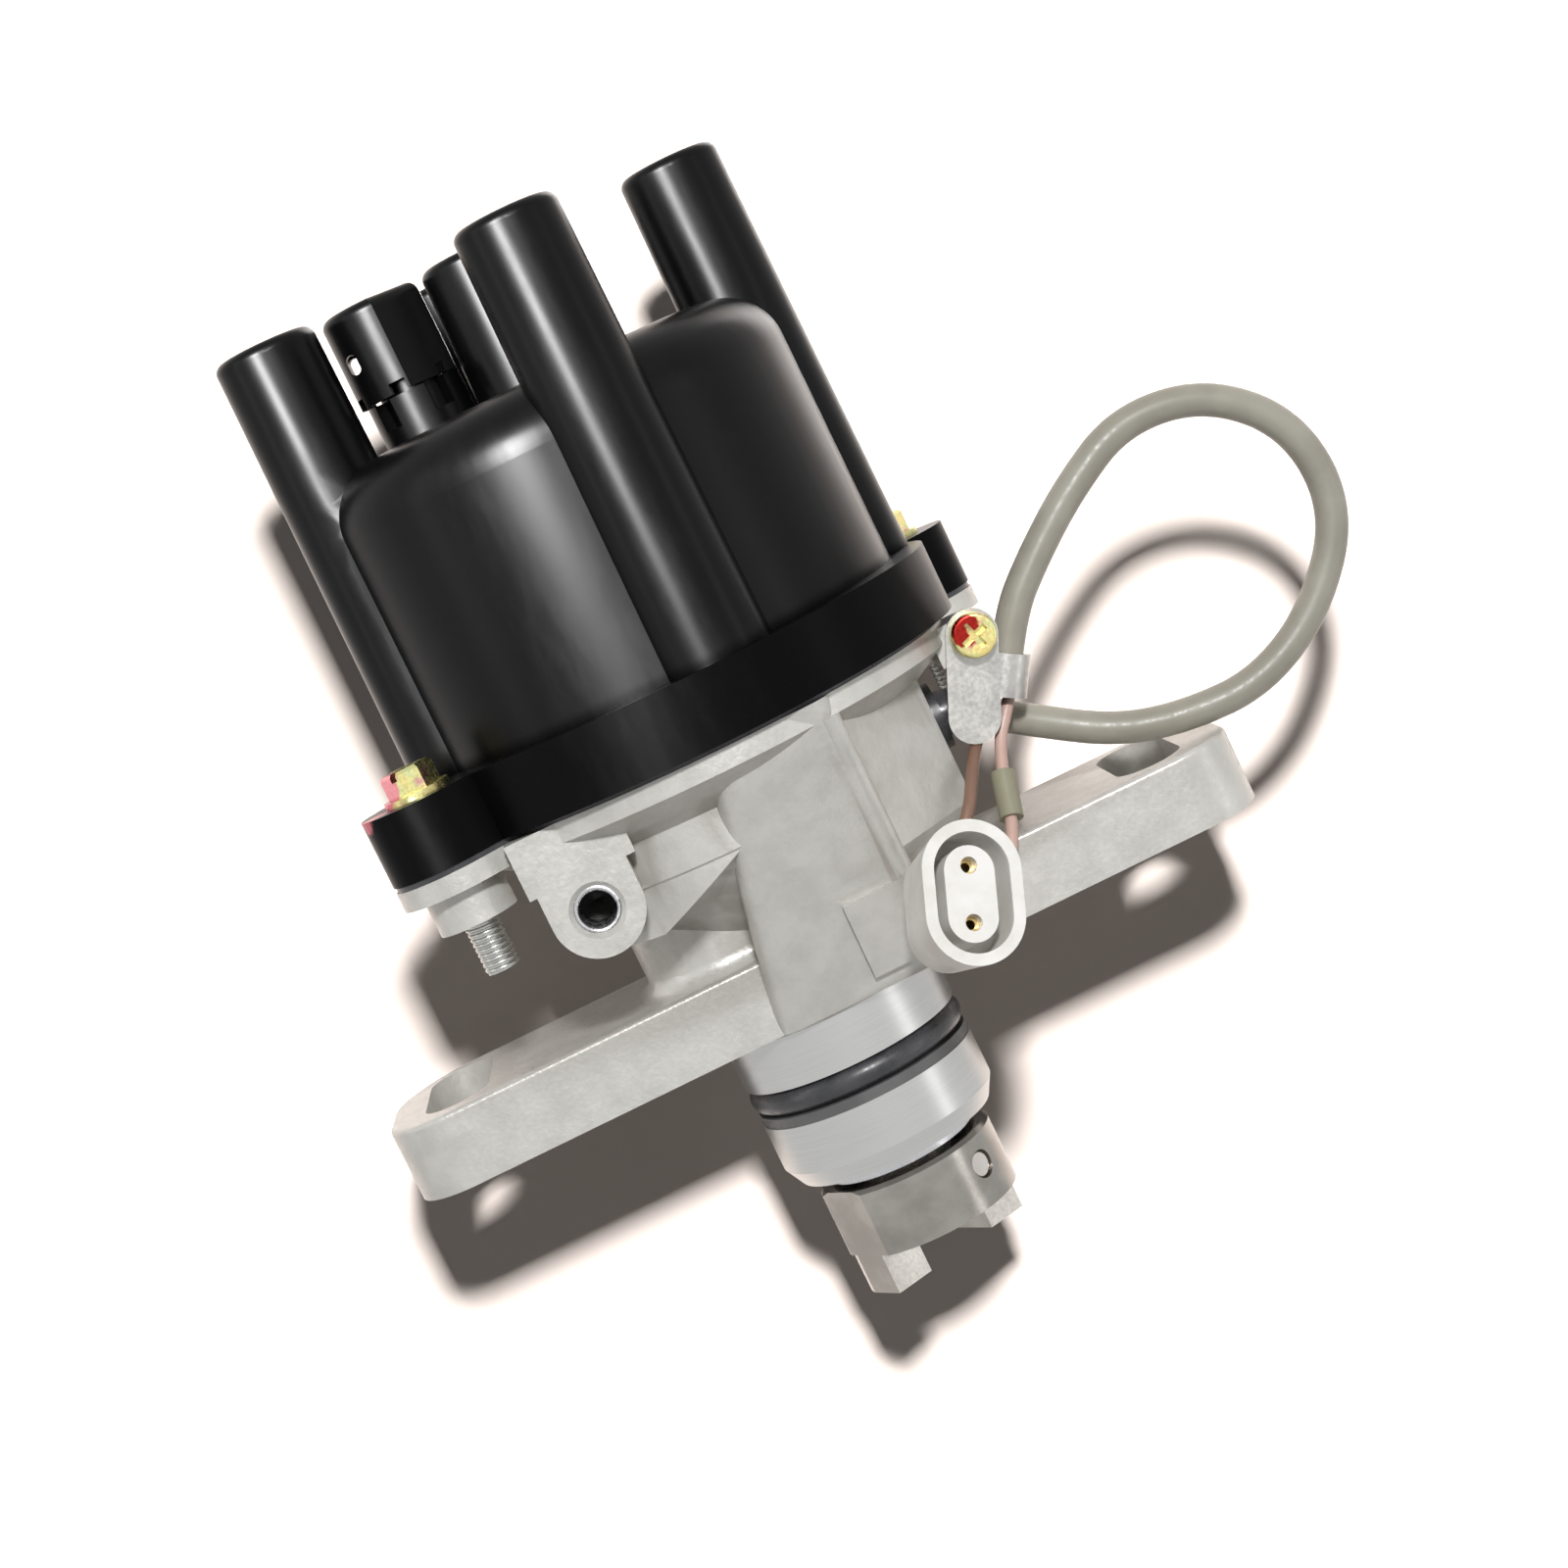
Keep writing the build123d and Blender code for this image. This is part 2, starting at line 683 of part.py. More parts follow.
# Cap moulding
with BuildPart() as distributor_cap:
    # Flange with two screw lugs
    with BuildSketch(Plane.XY.offset(cap_base_z)):
        Circle(cap_flange_radius)
        SlotCenterToCenter(screw_span, 2 * cap_lug_radius, rotation=screw_turn)
    extrude(amount=cap_flange_height)
    # Barrel with a rounded top edge
    with BuildSketch(Plane.XZ):
        with BuildLine():
            foot = Polyline(
                (0, cap_base_z),
                (barrel_radius, cap_base_z),
                (barrel_top_radius, barrel_top_z - barrel_corner),
            )
            corner = ThreePointArc(
                foot @ 1,
                (
                    barrel_top_radius - barrel_corner * (1 - math.cos(math.radians(45))),
                    barrel_top_z - barrel_corner * (1 - math.sin(math.radians(45))),
                ),
                (barrel_top_radius - barrel_corner, barrel_top_z),
            )
            Polyline(corner @ 1, (0, barrel_top_z), (0, cap_base_z))
        make_face()
    revolve(axis=Axis.Z)
    # Plug towers down to the flange's foot, and the coil tower on the roof
    with Locations(*[(x, y, cap_base_z) for x, y in tower_points]):
        Cone(
            tower_foot_radius,
            tower_radius,
            tower_top_z - cap_base_z,
            align=(Align.CENTER, Align.CENTER, Align.MIN),
        )
    with Locations((0, 0, barrel_top_z - cap_roof)):
        Cone(
            coil_tower_foot_radius,
            tower_radius,
            tower_top_z - barrel_top_z + cap_roof,
            align=(Align.CENTER, Align.CENTER, Align.MIN),
        )
    fillet(distributor_cap.edges().group_by(Axis.Z)[-1], tower_lip)
    # Vent tower with slots round its top
    with BuildSketch(Plane.XY.offset(barrel_top_z - cap_roof)):
        with Locations((hood_x, 0)):
            Circle(vent_radius)
    extrude(amount=hood_base_z - hole_clearance - barrel_top_z + cap_roof)
    with BuildSketch(Plane.XY.offset(hood_base_z - hole_clearance - vent_slot_depth)):
        with PolarLocations(vent_radius, vent_slot_count, start_angle=vent_slot_turn):
            Rectangle(vent_radius, vent_slot_width)
    vent_slots = extrude(amount=vent_slot_depth + cut_spare, mode=Mode.PRIVATE)
    for slot in vent_slots.solids():
        add(slot.moved(Location((hood_x, 0, 0))), mode=Mode.SUBTRACT)
    # Hollow inside, closed by the roof
    with BuildSketch(Plane.XY.offset(cap_base_z)):
        Circle(barrel_radius - cap_wall)
    extrude(amount=barrel_top_z - cap_roof - cap_base_z, mode=Mode.SUBTRACT)
    # Brush boss under the roof
    with BuildSketch(Plane.XY.offset(brush_boss_z)):
        Circle(brush_boss_radius)
    extrude(amount=barrel_top_z - cap_roof - brush_boss_z)
    # Electrode bosses on the barrel's inner wall, under each tower
    with BuildSketch(Plane.XY.offset(electrode_z)):
        with PolarLocations(electrode_reach + air_gap, teeth, start_angle=tower_turn):
            Rectangle(
                tower_circle - electrode_reach,
                electrode_width + 2 * terminal_cup_wall,
                align=(Align.MIN, Align.CENTER),
            )
    extrude(amount=barrel_top_z - cap_roof - electrode_z)
    # Sockets, rod channels and electrode slots
    with Locations(*[(x, y, tower_top_z) for x, y in tower_points + [(0, 0)]]):
        Cylinder(
            tower_bore_radius,
            tower_bore_depth,
            align=(Align.CENTER, Align.CENTER, Align.MAX),
            mode=Mode.SUBTRACT,
        )
    with Locations(*[(x, y, socket_base_z + terminal_cup_height) for x, y in tower_points + [(0, 0)]]):
        Cone(
            terminal_cup_radius,
            tower_bore_radius,
            tower_seat_height,
            align=(Align.CENTER, Align.CENTER, Align.MIN),
            mode=Mode.SUBTRACT,
        )
        Cylinder(
            terminal_cup_radius,
            terminal_cup_height,
            align=(Align.CENTER, Align.CENTER, Align.MAX),
            mode=Mode.SUBTRACT,
        )
    with Locations(*[(x, y, socket_base_z) for x, y in tower_points]):
        Cylinder(
            terminal_rod_radius,
            socket_base_z - electrode_z,
            align=(Align.CENTER, Align.CENTER, Align.MAX),
            mode=Mode.SUBTRACT,
        )
    with BuildSketch(Plane.XY.offset(electrode_z)):
        with PolarLocations(electrode_reach - cut_spare, teeth, start_angle=tower_turn):
            Rectangle(
                tower_circle - electrode_reach + cut_spare,
                electrode_width,
                align=(Align.MIN, Align.CENTER),
            )
    extrude(amount=electrode_height, mode=Mode.SUBTRACT)
    # Brush bore and vent passage
    with BuildSketch(Plane.XY.offset(brush_boss_z)):
        Circle(brush_bore_radius)
    extrude(amount=socket_base_z - brush_boss_z, mode=Mode.SUBTRACT)
    with BuildSketch(Plane.XY.offset(barrel_top_z)):
        with Locations((hood_x, 0)):
            Circle(vent_bore)
    extrude(amount=hood_base_z - barrel_top_z, mode=Mode.SUBTRACT)
    with BuildSketch(Plane.XY.offset(barrel_top_z - cap_roof)):
        with Locations((hood_x, 0)):
            Circle(hood_stem_bore)
    extrude(amount=cap_roof, mode=Mode.SUBTRACT)
    # Holes for the cap screws
    with BuildSketch(Plane.XY.offset(cap_base_z)):
        with Locations(*screw_points):
            Circle(screw_radius + hole_clearance)
    extrude(amount=cap_flange_height, mode=Mode.SUBTRACT)
finish(distributor_cap.part, "distributor_cap")


def hood_section(inset):
    """The hood's round outline with its two flats, drawn in the open sketch."""
    with Locations((hood_x, 0)):
        Circle(hood_radius - inset)
    for turn, offset in ((0, hood_side_offset), (hood_flat_turn, hood_flat_offset)):
        reach = offset - inset
        with Locations((hood_x + reach * math.cos(math.radians(turn)), reach * math.sin(math.radians(turn)))):
            Rectangle(
                hood_radius,
                2 * hood_radius,
                rotation=turn,
                align=(Align.MIN, Align.CENTER),
                mode=Mode.SUBTRACT,
            )


# Vent hood: a hollow cap with two flats, a stem that plugs into the vent tower and a notched skirt
with BuildPart() as vent_hood:
    with BuildSketch(Plane.XY.offset(hood_base_z)):
        hood_section(0)
    extrude(amount=hood_top_z - hood_base_z)
    fillet(vent_hood.edges().group_by(Axis.Z)[-1], hood_edge)
    with BuildSketch(Plane.XY.offset(hood_base_z)):
        hood_section(hood_wall)
    extrude(amount=hood_top_z - hood_base_z - hood_wall, mode=Mode.SUBTRACT)
    with BuildSketch(Plane.XY.offset(hood_base_z - hood_stem_length)):
        with Locations((hood_x, 0)):
            Circle(hood_stem_radius)
            Circle(hood_stem_bore, mode=Mode.SUBTRACT)
    extrude(amount=hood_top_z - hood_wall - hood_base_z + hood_stem_length - hood_web)
    with BuildSketch(Plane.XY.offset(hood_top_z - hood_wall - hood_web)):
        with Locations((hood_x, 0)):
            Circle(hood_stem_radius)
    extrude(amount=hood_web)
    with BuildSketch(Plane.XZ.offset(-hood_radius)):
        with Locations((hood_x - hood_radius + hood_wall + hood_window_width / 2, hood_window_z)):
            SlotOverall(hood_window_height, hood_window_width, rotation=90)
    extrude(amount=2 * hood_radius, mode=Mode.SUBTRACT)
    with Locations((hood_x, 0, hood_base_z)):
        with PolarLocations(hood_radius, hood_notch_count, start_angle=hood_notch_turn):
            Box(
                2 * hood_wall + cut_spare,
                hood_notch_width,
                2 * hood_notch_height,
                mode=Mode.SUBTRACT,
            )
finish(vent_hood.part, "vent_hood")

# Terminals: a cup in each socket, a rod down the tower and an electrode through the wall
with BuildPart() as plug_terminals:
    with Locations(*[(x, y, socket_base_z) for x, y in tower_points]):
        Cylinder(
            terminal_cup_radius,
            terminal_cup_height,
            align=(Align.CENTER, Align.CENTER, Align.MIN),
        )
        Cylinder(
            terminal_rod_radius,
            socket_base_z - electrode_z,
            align=(Align.CENTER, Align.CENTER, Align.MAX),
        )
    with BuildSketch(Plane.XY.offset(electrode_z)):
        with PolarLocations(electrode_reach, teeth, start_angle=tower_turn):
            Rectangle(tower_circle - electrode_reach, electrode_width, align=(Align.MIN, Align.CENTER))
    extrude(amount=electrode_height)
    with Locations(*[(x, y, socket_base_z + terminal_cup_wall) for x, y in tower_points]):
        Cylinder(
            terminal_cup_bore,
            terminal_cup_height,
            align=(Align.CENTER, Align.CENTER, Align.MIN),
            mode=Mode.SUBTRACT,
        )
finish(plug_terminals.part, "plug_terminals")

with BuildPart() as coil_terminal:
    with Locations((0, 0, socket_base_z)):
        Cylinder(terminal_cup_radius, terminal_cup_height, align=(Align.CENTER, Align.CENTER, Align.MIN))
        Cylinder(
            brush_bore_radius,
            socket_base_z - spring_top_z,
            align=(Align.CENTER, Align.CENTER, Align.MAX),
        )
    with Locations((0, 0, socket_base_z + terminal_cup_wall)):
        Cylinder(
            terminal_cup_bore,
            terminal_cup_height,
            align=(Align.CENTER, Align.CENTER, Align.MIN),
            mode=Mode.SUBTRACT,
        )
finish(coil_terminal.part, "coil_terminal")

# Carbon brush and its spring
with BuildPart() as carbon_brush:
    with Locations((0, 0, contact_top_z)):
        Cylinder(brush_radius, brush_length, align=(Align.CENTER, Align.CENTER, Align.MIN))
    fillet(carbon_brush.edges().group_by(Axis.Z)[0], brush_edge)
finish(carbon_brush.part, "carbon_brush")

with BuildPart() as brush_spring:
    with BuildLine():
        coil_line = Helix(
            spring_height / spring_turns,
            spring_height,
            spring_radius,
            center=(0, 0, spring_base_z),
        )
    with BuildSketch(Plane(origin=coil_line @ 0, z_dir=coil_line % 0)):
        RegularPolygon(spring_wire_radius, 6)
    sweep()
finish(brush_spring.part, "brush_spring")

# Gasket between cap and housing
with BuildPart() as cap_seal:
    with BuildSketch(Plane.XY.offset(rim_z)):
        Circle(rim_radius - hole_clearance)
        SlotCenterToCenter(screw_span, 2 * (cap_lug_radius - hole_clearance), rotation=screw_turn)
        Circle(seal_inner_radius, mode=Mode.SUBTRACT)
        with Locations(*screw_points):
            Circle(screw_radius + hole_clearance, mode=Mode.SUBTRACT)
    extrude(amount=seal_thickness)
finish(cap_seal.part, "cap_seal")

# Dust cover over the pick-up
with BuildPart() as dust_cover:
    with BuildSketch(Plane.XY.offset(cover_z)):
        Circle(cover_radius)
        Circle(cover_bore, mode=Mode.SUBTRACT)
    extrude(amount=cover_thickness)
finish(dust_cover.part, "dust_cover")

# Cap screws: slotted washer-head screws whose tails stand out under the bosses
screw_tail_z = rim_z - rim_thickness - boss_depth - screw_tail
screw_head_top_z = cap_flange_top_z + screw_washer_thickness + screw_head_height
with BuildPart() as cap_screws:
    with Locations(*[(x, y, screw_tail_z) for x, y in screw_points]):
        Cylinder(screw_radius, cap_flange_top_z - screw_tail_z, align=(Align.CENTER, Align.CENTER, Align.MIN))
    with Locations(*[(x, y, cap_flange_top_z) for x, y in screw_points]):
        Cylinder(screw_washer_radius, screw_washer_thickness, align=(Align.CENTER, Align.CENTER, Align.MIN))
    with BuildSketch(Plane.XY.offset(cap_flange_top_z + screw_washer_thickness)):
        with Locations(*screw_points):
            RegularPolygon(screw_head_radius, 6)
    extrude(amount=screw_head_height)
    head_top = cap_screws.faces().filter_by(Plane.XY).sort_by(Axis.Z)[-2:]
    chamfer(head_top.edges(), small_edge)
    with BuildSketch(Plane.XY.offset(screw_head_top_z - screw_slot_depth)):
        with Locations(*screw_points):
            Rectangle(3 * screw_head_radius, screw_slot_width, rotation=screw_slot_turn)
    extrude(amount=screw_slot_depth, mode=Mode.SUBTRACT)
finish(cap_screws.part, "cap_screws")

# Main shaft: stepped, with a rotor flat, a circlip groove and a cross hole
circlip_z = bearing_top_z + circlip_gap
with BuildPart() as shaft:
    with BuildSketch(Plane.XZ):
        with BuildLine():
            Polyline(
                (0, shaft_base_z),
                (shaft_radius - small_edge, shaft_base_z),
                (shaft_radius, shaft_base_z + small_edge),
                (shaft_radius, circlip_z),
                (shaft_radius - circlip_groove_depth, circlip_z),
                (shaft_radius - circlip_groove_depth, circlip_z + circlip_thickness),
                (shaft_radius, circlip_z + circlip_thickness),
                (shaft_radius, shaft_step_z),
                (shaft_tip_radius, shaft_step_z),
                (shaft_tip_radius, shaft_tip_z - small_edge),
                (shaft_tip_radius - small_edge, shaft_tip_z),
                (0, shaft_tip_z),
                close=True,
            )
        make_face()
    revolve(axis=Axis.Z)
    with BuildSketch(Plane.XY.offset(shaft_step_z)):
        with Locations((-shaft_flat, 0)):
            Rectangle(shaft_radius, 2 * shaft_radius, align=(Align.MAX, Align.CENTER))
    extrude(amount=shaft_tip_z - shaft_step_z, mode=Mode.SUBTRACT)
    with BuildSketch(Plane(origin=(0, 0, pin_z), z_dir=pin_direction)):
        Circle(pin_radius)
    extrude(amount=coupling_radius, both=True, mode=Mode.SUBTRACT)
finish(shaft.part, "shaft")

# Ball bearing: two races, the cage and the balls
ball_z = bearing_z + bearing_width / 2
race_groove = ball_radius + race_clearance
with BuildPart() as bearing_outer_race:
    with BuildSketch(Plane.XZ):
        with Locations((bearing_outer_radius - race_thickness, bearing_z)):
            Rectangle(race_thickness, bearing_width, align=(Align.MIN, Align.MIN))
        with Locations((ball_circle, ball_z)):
            Circle(race_groove, mode=Mode.SUBTRACT)
    revolve(axis=Axis.Z)
finish(bearing_outer_race.part, "bearing_outer_race")

with BuildPart() as bearing_inner_race:
    with BuildSketch(Plane.XZ):
        with Locations((shaft_radius, bearing_z)):
            Rectangle(race_thickness, bearing_width, align=(Align.MIN, Align.MIN))
        with Locations((ball_circle, ball_z)):
            Circle(race_groove, mode=Mode.SUBTRACT)
    revolve(axis=Axis.Z)
finish(bearing_inner_race.part, "bearing_inner_race")

with BuildPart() as bearing_cage:
    with BuildSketch(Plane.XY.offset(ball_z - cage_width / 2)):
        Circle(ball_circle + cage_thickness / 2)
        Circle(ball_circle - cage_thickness / 2, mode=Mode.SUBTRACT)
    extrude(amount=cage_width)
    with Locations((0, 0, ball_z)):
        with PolarLocations(ball_circle, ball_count):
            Cylinder(race_groove, 3 * cage_thickness, rotation=(0, 90, 0), mode=Mode.SUBTRACT)
finish(bearing_cage.part, "bearing_cage")

with BuildPart() as bearing_balls:
    with Locations((0, 0, ball_z)):
        with PolarLocations(ball_circle, ball_count):
            Sphere(ball_radius)
finish(bearing_balls.part, "bearing_balls")

# Retainer that holds the bearing down, with its screws
with BuildPart() as bearing_retainer:
    with BuildSketch(Plane.XY.offset(bearing_top_z)):
        Circle(retainer_radius)
        Circle(retainer_bore, mode=Mode.SUBTRACT)
        with PolarLocations(retainer_screw_circle, 2, start_angle=retainer_screw_turn):
            Circle(retainer_screw_radius + hole_clearance, mode=Mode.SUBTRACT)
    extrude(amount=retainer_thickness)
finish(bearing_retainer.part, "bearing_retainer")

with BuildPart() as retainer_screws:
    with BuildSketch(Plane.XY.offset(bearing_top_z - retainer_screw_length)):
        with PolarLocations(retainer_screw_circle, 2, start_angle=retainer_screw_turn):
            Circle(retainer_screw_radius)
    extrude(amount=retainer_screw_length + retainer_thickness)
    with BuildSketch(Plane.XY.offset(bearing_top_z + retainer_thickness)):
        with PolarLocations(retainer_screw_circle, 2, start_angle=retainer_screw_turn):
            Circle(retainer_head_radius)
    extrude(amount=retainer_head_height)
finish(retainer_screws.part, "retainer_screws")

with BuildPart() as circlip:
    with BuildSketch(Plane.XY.offset(circlip_z)):
        Circle(circlip_outer_radius)
        Circle(shaft_radius - circlip_groove_depth, mode=Mode.SUBTRACT)
        Rectangle(
            circlip_outer_radius + cut_spare,
            shaft_radius,
            align=(Align.MIN, Align.CENTER),
            mode=Mode.SUBTRACT,
        )
    extrude(amount=circlip_thickness)
finish(circlip.part, "circlip")

# Lower bush and oil seal in the spigot
with BuildPart() as lower_bush:
    with BuildSketch(Plane.XY.offset(-spigot_length + seal_recess)):
        Circle(bush_outer_radius)
        Circle(shaft_radius + running_clearance, mode=Mode.SUBTRACT)
    extrude(amount=bush_top_z + spigot_length - seal_recess)
finish(lower_bush.part, "lower_bush")

seal_base_z = -spigot_length + (seal_recess - seal_height)
with BuildPart() as oil_seal:
    with BuildSketch(Plane.XZ):
        with BuildLine():
            Polyline(
                (shaft_radius + running_clearance, seal_base_z + seal_lip_base),
                (shaft_radius + seal_lip_thickness, seal_base_z + seal_lip_base),
                (shaft_radius + seal_lip_root, seal_base_z + seal_height - seal_web),
                (seal_outer_radius - seal_wall, seal_base_z + seal_height - seal_web),
                (seal_outer_radius - seal_wall, seal_base_z),
                (seal_outer_radius, seal_base_z),
                (seal_outer_radius, seal_base_z + seal_height),
                (shaft_radius + seal_lip_thickness, seal_base_z + seal_height),
                (shaft_radius + running_clearance, seal_base_z + seal_lip_top),
                close=True,
            )
        make_face()
    revolve(axis=Axis.Z)
finish(oil_seal.part, "oil_seal")

# O-ring and its backing ring in the spigot's groove
with BuildPart() as o_ring:
    with BuildSketch(Plane.XZ):
        with Locations((
            spigot_radius + o_ring_stand_out - o_ring_section / 2,
            -groove_start - o_ring_section / 2,
        )):
            Circle(o_ring_section / 2)
    revolve(axis=Axis.Z)
finish(o_ring.part, "o_ring")

with BuildPart() as backup_ring:
    with BuildSketch(Plane.XY.offset(-groove_start - groove_width)):
        Circle(spigot_radius - backup_ring_inset)
        Circle(spigot_radius - groove_depth, mode=Mode.SUBTRACT)
    extrude(amount=backup_ring_width)
finish(backup_ring.part, "backup_ring")

# Thrust washer between the spigot and the coupling
with BuildPart() as thrust_washer:
    with BuildSketch(Plane.XY.offset(-spigot_length - hole_clearance - thrust_washer_thickness)):
        Circle(thrust_washer_radius)
        Circle(shaft_radius, mode=Mode.SUBTRACT)
    extrude(amount=thrust_washer_thickness)
finish(thrust_washer.part, "thrust_washer")

# Drive coupling: a collar with two offset lugs, pinned to the shaft
washer_base_z = -spigot_length - hole_clearance - thrust_washer_thickness
with BuildPart() as drive_coupling:
    with BuildSketch(Plane.XY.offset(coupling_base_z)):
        Circle(coupling_radius)
    extrude(amount=coupling_top_z - coupling_base_z)
    chamfer(drive_coupling.edges().group_by(Axis.Z)[-1], coupling_edge)
    with BuildSketch(Plane.XY.offset(coupling_top_z)):
        Circle(coupling_hub_radius)
    extrude(amount=washer_base_z - coupling_top_z)
    with BuildSketch(Plane.XY.offset(coupling_lug_z)):
        Circle(coupling_radius - coupling_lug_inset)
        with BuildSketch(mode=Mode.INTERSECT):
            with Locations((
                -coupling_tang_offset * math.sin(math.radians(coupling_turn)),
                coupling_tang_offset * math.cos(math.radians(coupling_turn)),
            )):
                Rectangle(3 * coupling_radius, coupling_tang_width, rotation=coupling_turn)
        Rectangle(coupling_slot_width, 3 * coupling_radius, rotation=coupling_turn, mode=Mode.SUBTRACT)
    extrude(amount=coupling_base_z - coupling_lug_z)
    # Milled flats on the side of the collar
    with BuildSketch(Plane.XY.offset(coupling_lug_z)):
        for turn in (coupling_turn, coupling_turn + 180):
            with Locations((
                coupling_flat_offset * math.cos(math.radians(turn)),
                coupling_flat_offset * math.sin(math.radians(turn)),
            )):
                Rectangle(
                    coupling_radius,
                    2 * coupling_radius,
                    rotation=turn,
                    align=(Align.MIN, Align.CENTER),
                )
    extrude(amount=coupling_top_z - coupling_lug_z, mode=Mode.SUBTRACT)
    with BuildSketch(Plane.XY.offset(coupling_base_z)):
        Circle(shaft_radius)
    extrude(amount=washer_base_z - coupling_base_z, mode=Mode.SUBTRACT)
    with BuildSketch(Plane(origin=(0, 0, pin_z), z_dir=pin_direction)):
        Circle(pin_radius)
    extrude(amount=2 * coupling_radius, both=True, mode=Mode.SUBTRACT)
finish(drive_coupling.part, "drive_coupling")

with BuildPart() as coupling_pin:
    with BuildSketch(Plane(origin=(0, 0, pin_z), z_dir=pin_direction)):
        Circle(pin_radius)
    extrude(amount=coupling_radius - pin_recess, both=True)
    chamfer(coupling_pin.edges().filter_by(GeomType.CIRCLE), pin_edge)
finish(coupling_pin.part, "coupling_pin")

# Reluctor: a hub with four teeth
with BuildPart() as reluctor:
    with BuildSketch(Plane.XY.offset(reluctor_z)):
        Circle(reluctor_radius)
        with PolarLocations(0, teeth, start_angle=tower_turn):
            Rectangle(reluctor_tip_radius, reluctor_tooth_width, align=(Align.MIN, Align.CENTER))
    extrude(amount=reluctor_height)
    with BuildSketch(Plane.XY.offset(reluctor_z)):
        Circle(reluctor_hub_radius)
    extrude(amount=reluctor_hub_top_z - reluctor_z)
    with BuildSketch(Plane.XY.offset(reluctor_z)):
        Circle(shaft_radius)
    extrude(amount=reluctor_hub_top_z - reluctor_z, mode=Mode.SUBTRACT)
finish(reluctor.part, "reluctor")

# Pick-up plate on its three pads, with its screws
plate_top_z = plate_z + plate_thickness
with BuildPart() as pickup_plate:
    with BuildSketch(Plane.XY.offset(plate_z)):
        Circle(plate_radius)
        Circle(plate_bore, mode=Mode.SUBTRACT)
        with PolarLocations(plate_screw_circle, 3, start_angle=plate_screw_turn):
            Circle(plate_screw_radius + hole_clearance, mode=Mode.SUBTRACT)
        with Locations((plate_radius, lead_hole_y)):
            Rectangle(plate_notch, 2 * lead_hole_radius, mode=Mode.SUBTRACT)
    extrude(amount=plate_thickness)
finish(pickup_plate.part, "pickup_plate")

with BuildPart() as pickup_screws:
    with BuildSketch(Plane.XY.offset(bowl_base_z - plate_screw_reach)):
        with PolarLocations(plate_screw_circle, 3, start_angle=plate_screw_turn):
            Circle(plate_screw_radius)
    extrude(amount=plate_top_z - bowl_base_z + plate_screw_reach)
    with BuildSketch(Plane.XY.offset(plate_top_z)):
        with PolarLocations(plate_screw_circle, 3, start_angle=plate_screw_turn):
            Circle(plate_screw_head_radius)
    extrude(amount=plate_screw_head_height)
finish(pickup_screws.part, "pickup_screws")

# Pick-up: pole piece facing the reluctor, coil round it and magnet behind
pickup_frame = Plane(
    origin=(0, 0, plate_top_z),
    x_dir=(math.cos(math.radians(pickup_turn)), math.sin(math.radians(pickup_turn)), 0),
    z_dir=(0, 0, 1),
)
with BuildPart() as pickup_core:
    with BuildSketch(pickup_frame.offset(bobbin_half_width - pole_height / 2)):
        with Locations((pole_start, 0)):
            Rectangle(pole_back - magnet_length - pole_start, pole_width, align=(Align.MIN, Align.CENTER))
    extrude(amount=pole_height)
finish(pickup_core.part, "pickup_core")

with BuildPart() as pickup_coil:
    coil_section = Plane(
        origin=pickup_frame.from_local_coords((coil_start, 0, bobbin_half_width)),
        x_dir=pickup_frame.y_dir,
        z_dir=pickup_frame.x_dir,
    )
    with BuildSketch(coil_section):
        Circle(coil_radius)
    extrude(amount=coil_length)
    for start in (0, coil_length - bobbin_wall):
        with BuildSketch(coil_section.offset(start)):
            RectangleRounded(2 * bobbin_half_width, 2 * bobbin_half_width, bobbin_corner)
        extrude(amount=bobbin_wall)
    with BuildSketch(coil_section):
        Rectangle(pole_width, pole_height)
    extrude(amount=coil_length, mode=Mode.SUBTRACT)
finish(pickup_coil.part, "pickup_coil")

with BuildPart() as pickup_magnet:
    with BuildSketch(pickup_frame):
        with Locations((pole_back - magnet_length, 0)):
            Rectangle(magnet_length, magnet_width, align=(Align.MIN, Align.CENTER))
    extrude(amount=bobbin_half_width + pole_height / 2)
finish(pickup_magnet.part, "pickup_magnet")

# Rotor arm: hub keyed to the shaft, skirt, arm and tail, with the brass contact on top
with BuildPart() as rotor_arm:
    with BuildSketch(Plane.XY.offset(shaft_step_z)):
        Circle(rotor_hub_radius)
    extrude(amount=rotor_arm_z - shaft_step_z)
    with BuildSketch(Plane.XY.offset(rotor_arm_z - rotor_skirt_thickness)):
        Circle(rotor_skirt_radius)
    extrude(amount=rotor_skirt_thickness)
    with BuildSketch(Plane.XY.offset(rotor_arm_z)):
        with Locations((-rotor_tail_reach, 0)):
            Rectangle(rotor_arm_reach + rotor_tail_reach, rotor_arm_width, align=(Align.MIN, Align.CENTER))
        fillet(vertices(), rotor_arm_corner)
    extrude(amount=rotor_arm_thickness)
    with BuildSketch(Plane.XY.offset(shaft_step_z)):
        Circle(shaft_tip_radius)
        with Locations((-shaft_flat, 0)):
            Rectangle(shaft_radius, 2 * shaft_radius, align=(Align.MAX, Align.CENTER), mode=Mode.SUBTRACT)
    extrude(amount=shaft_tip_z - shaft_step_z, mode=Mode.SUBTRACT)
finish(rotor_arm.part, "rotor_arm")

with BuildPart() as rotor_contact:
    with BuildSketch(Plane.XY.offset(rotor_arm_z + rotor_arm_thickness)):
        with Locations((-contact_width / 2, 0)):
            Rectangle(
                electrode_reach - air_gap + contact_width / 2,
                contact_width,
                align=(Align.MIN, Align.CENTER),
            )
        fillet(vertices(), contact_corner)
    extrude(amount=contact_thickness)
finish(rotor_contact.part, "rotor_contact")

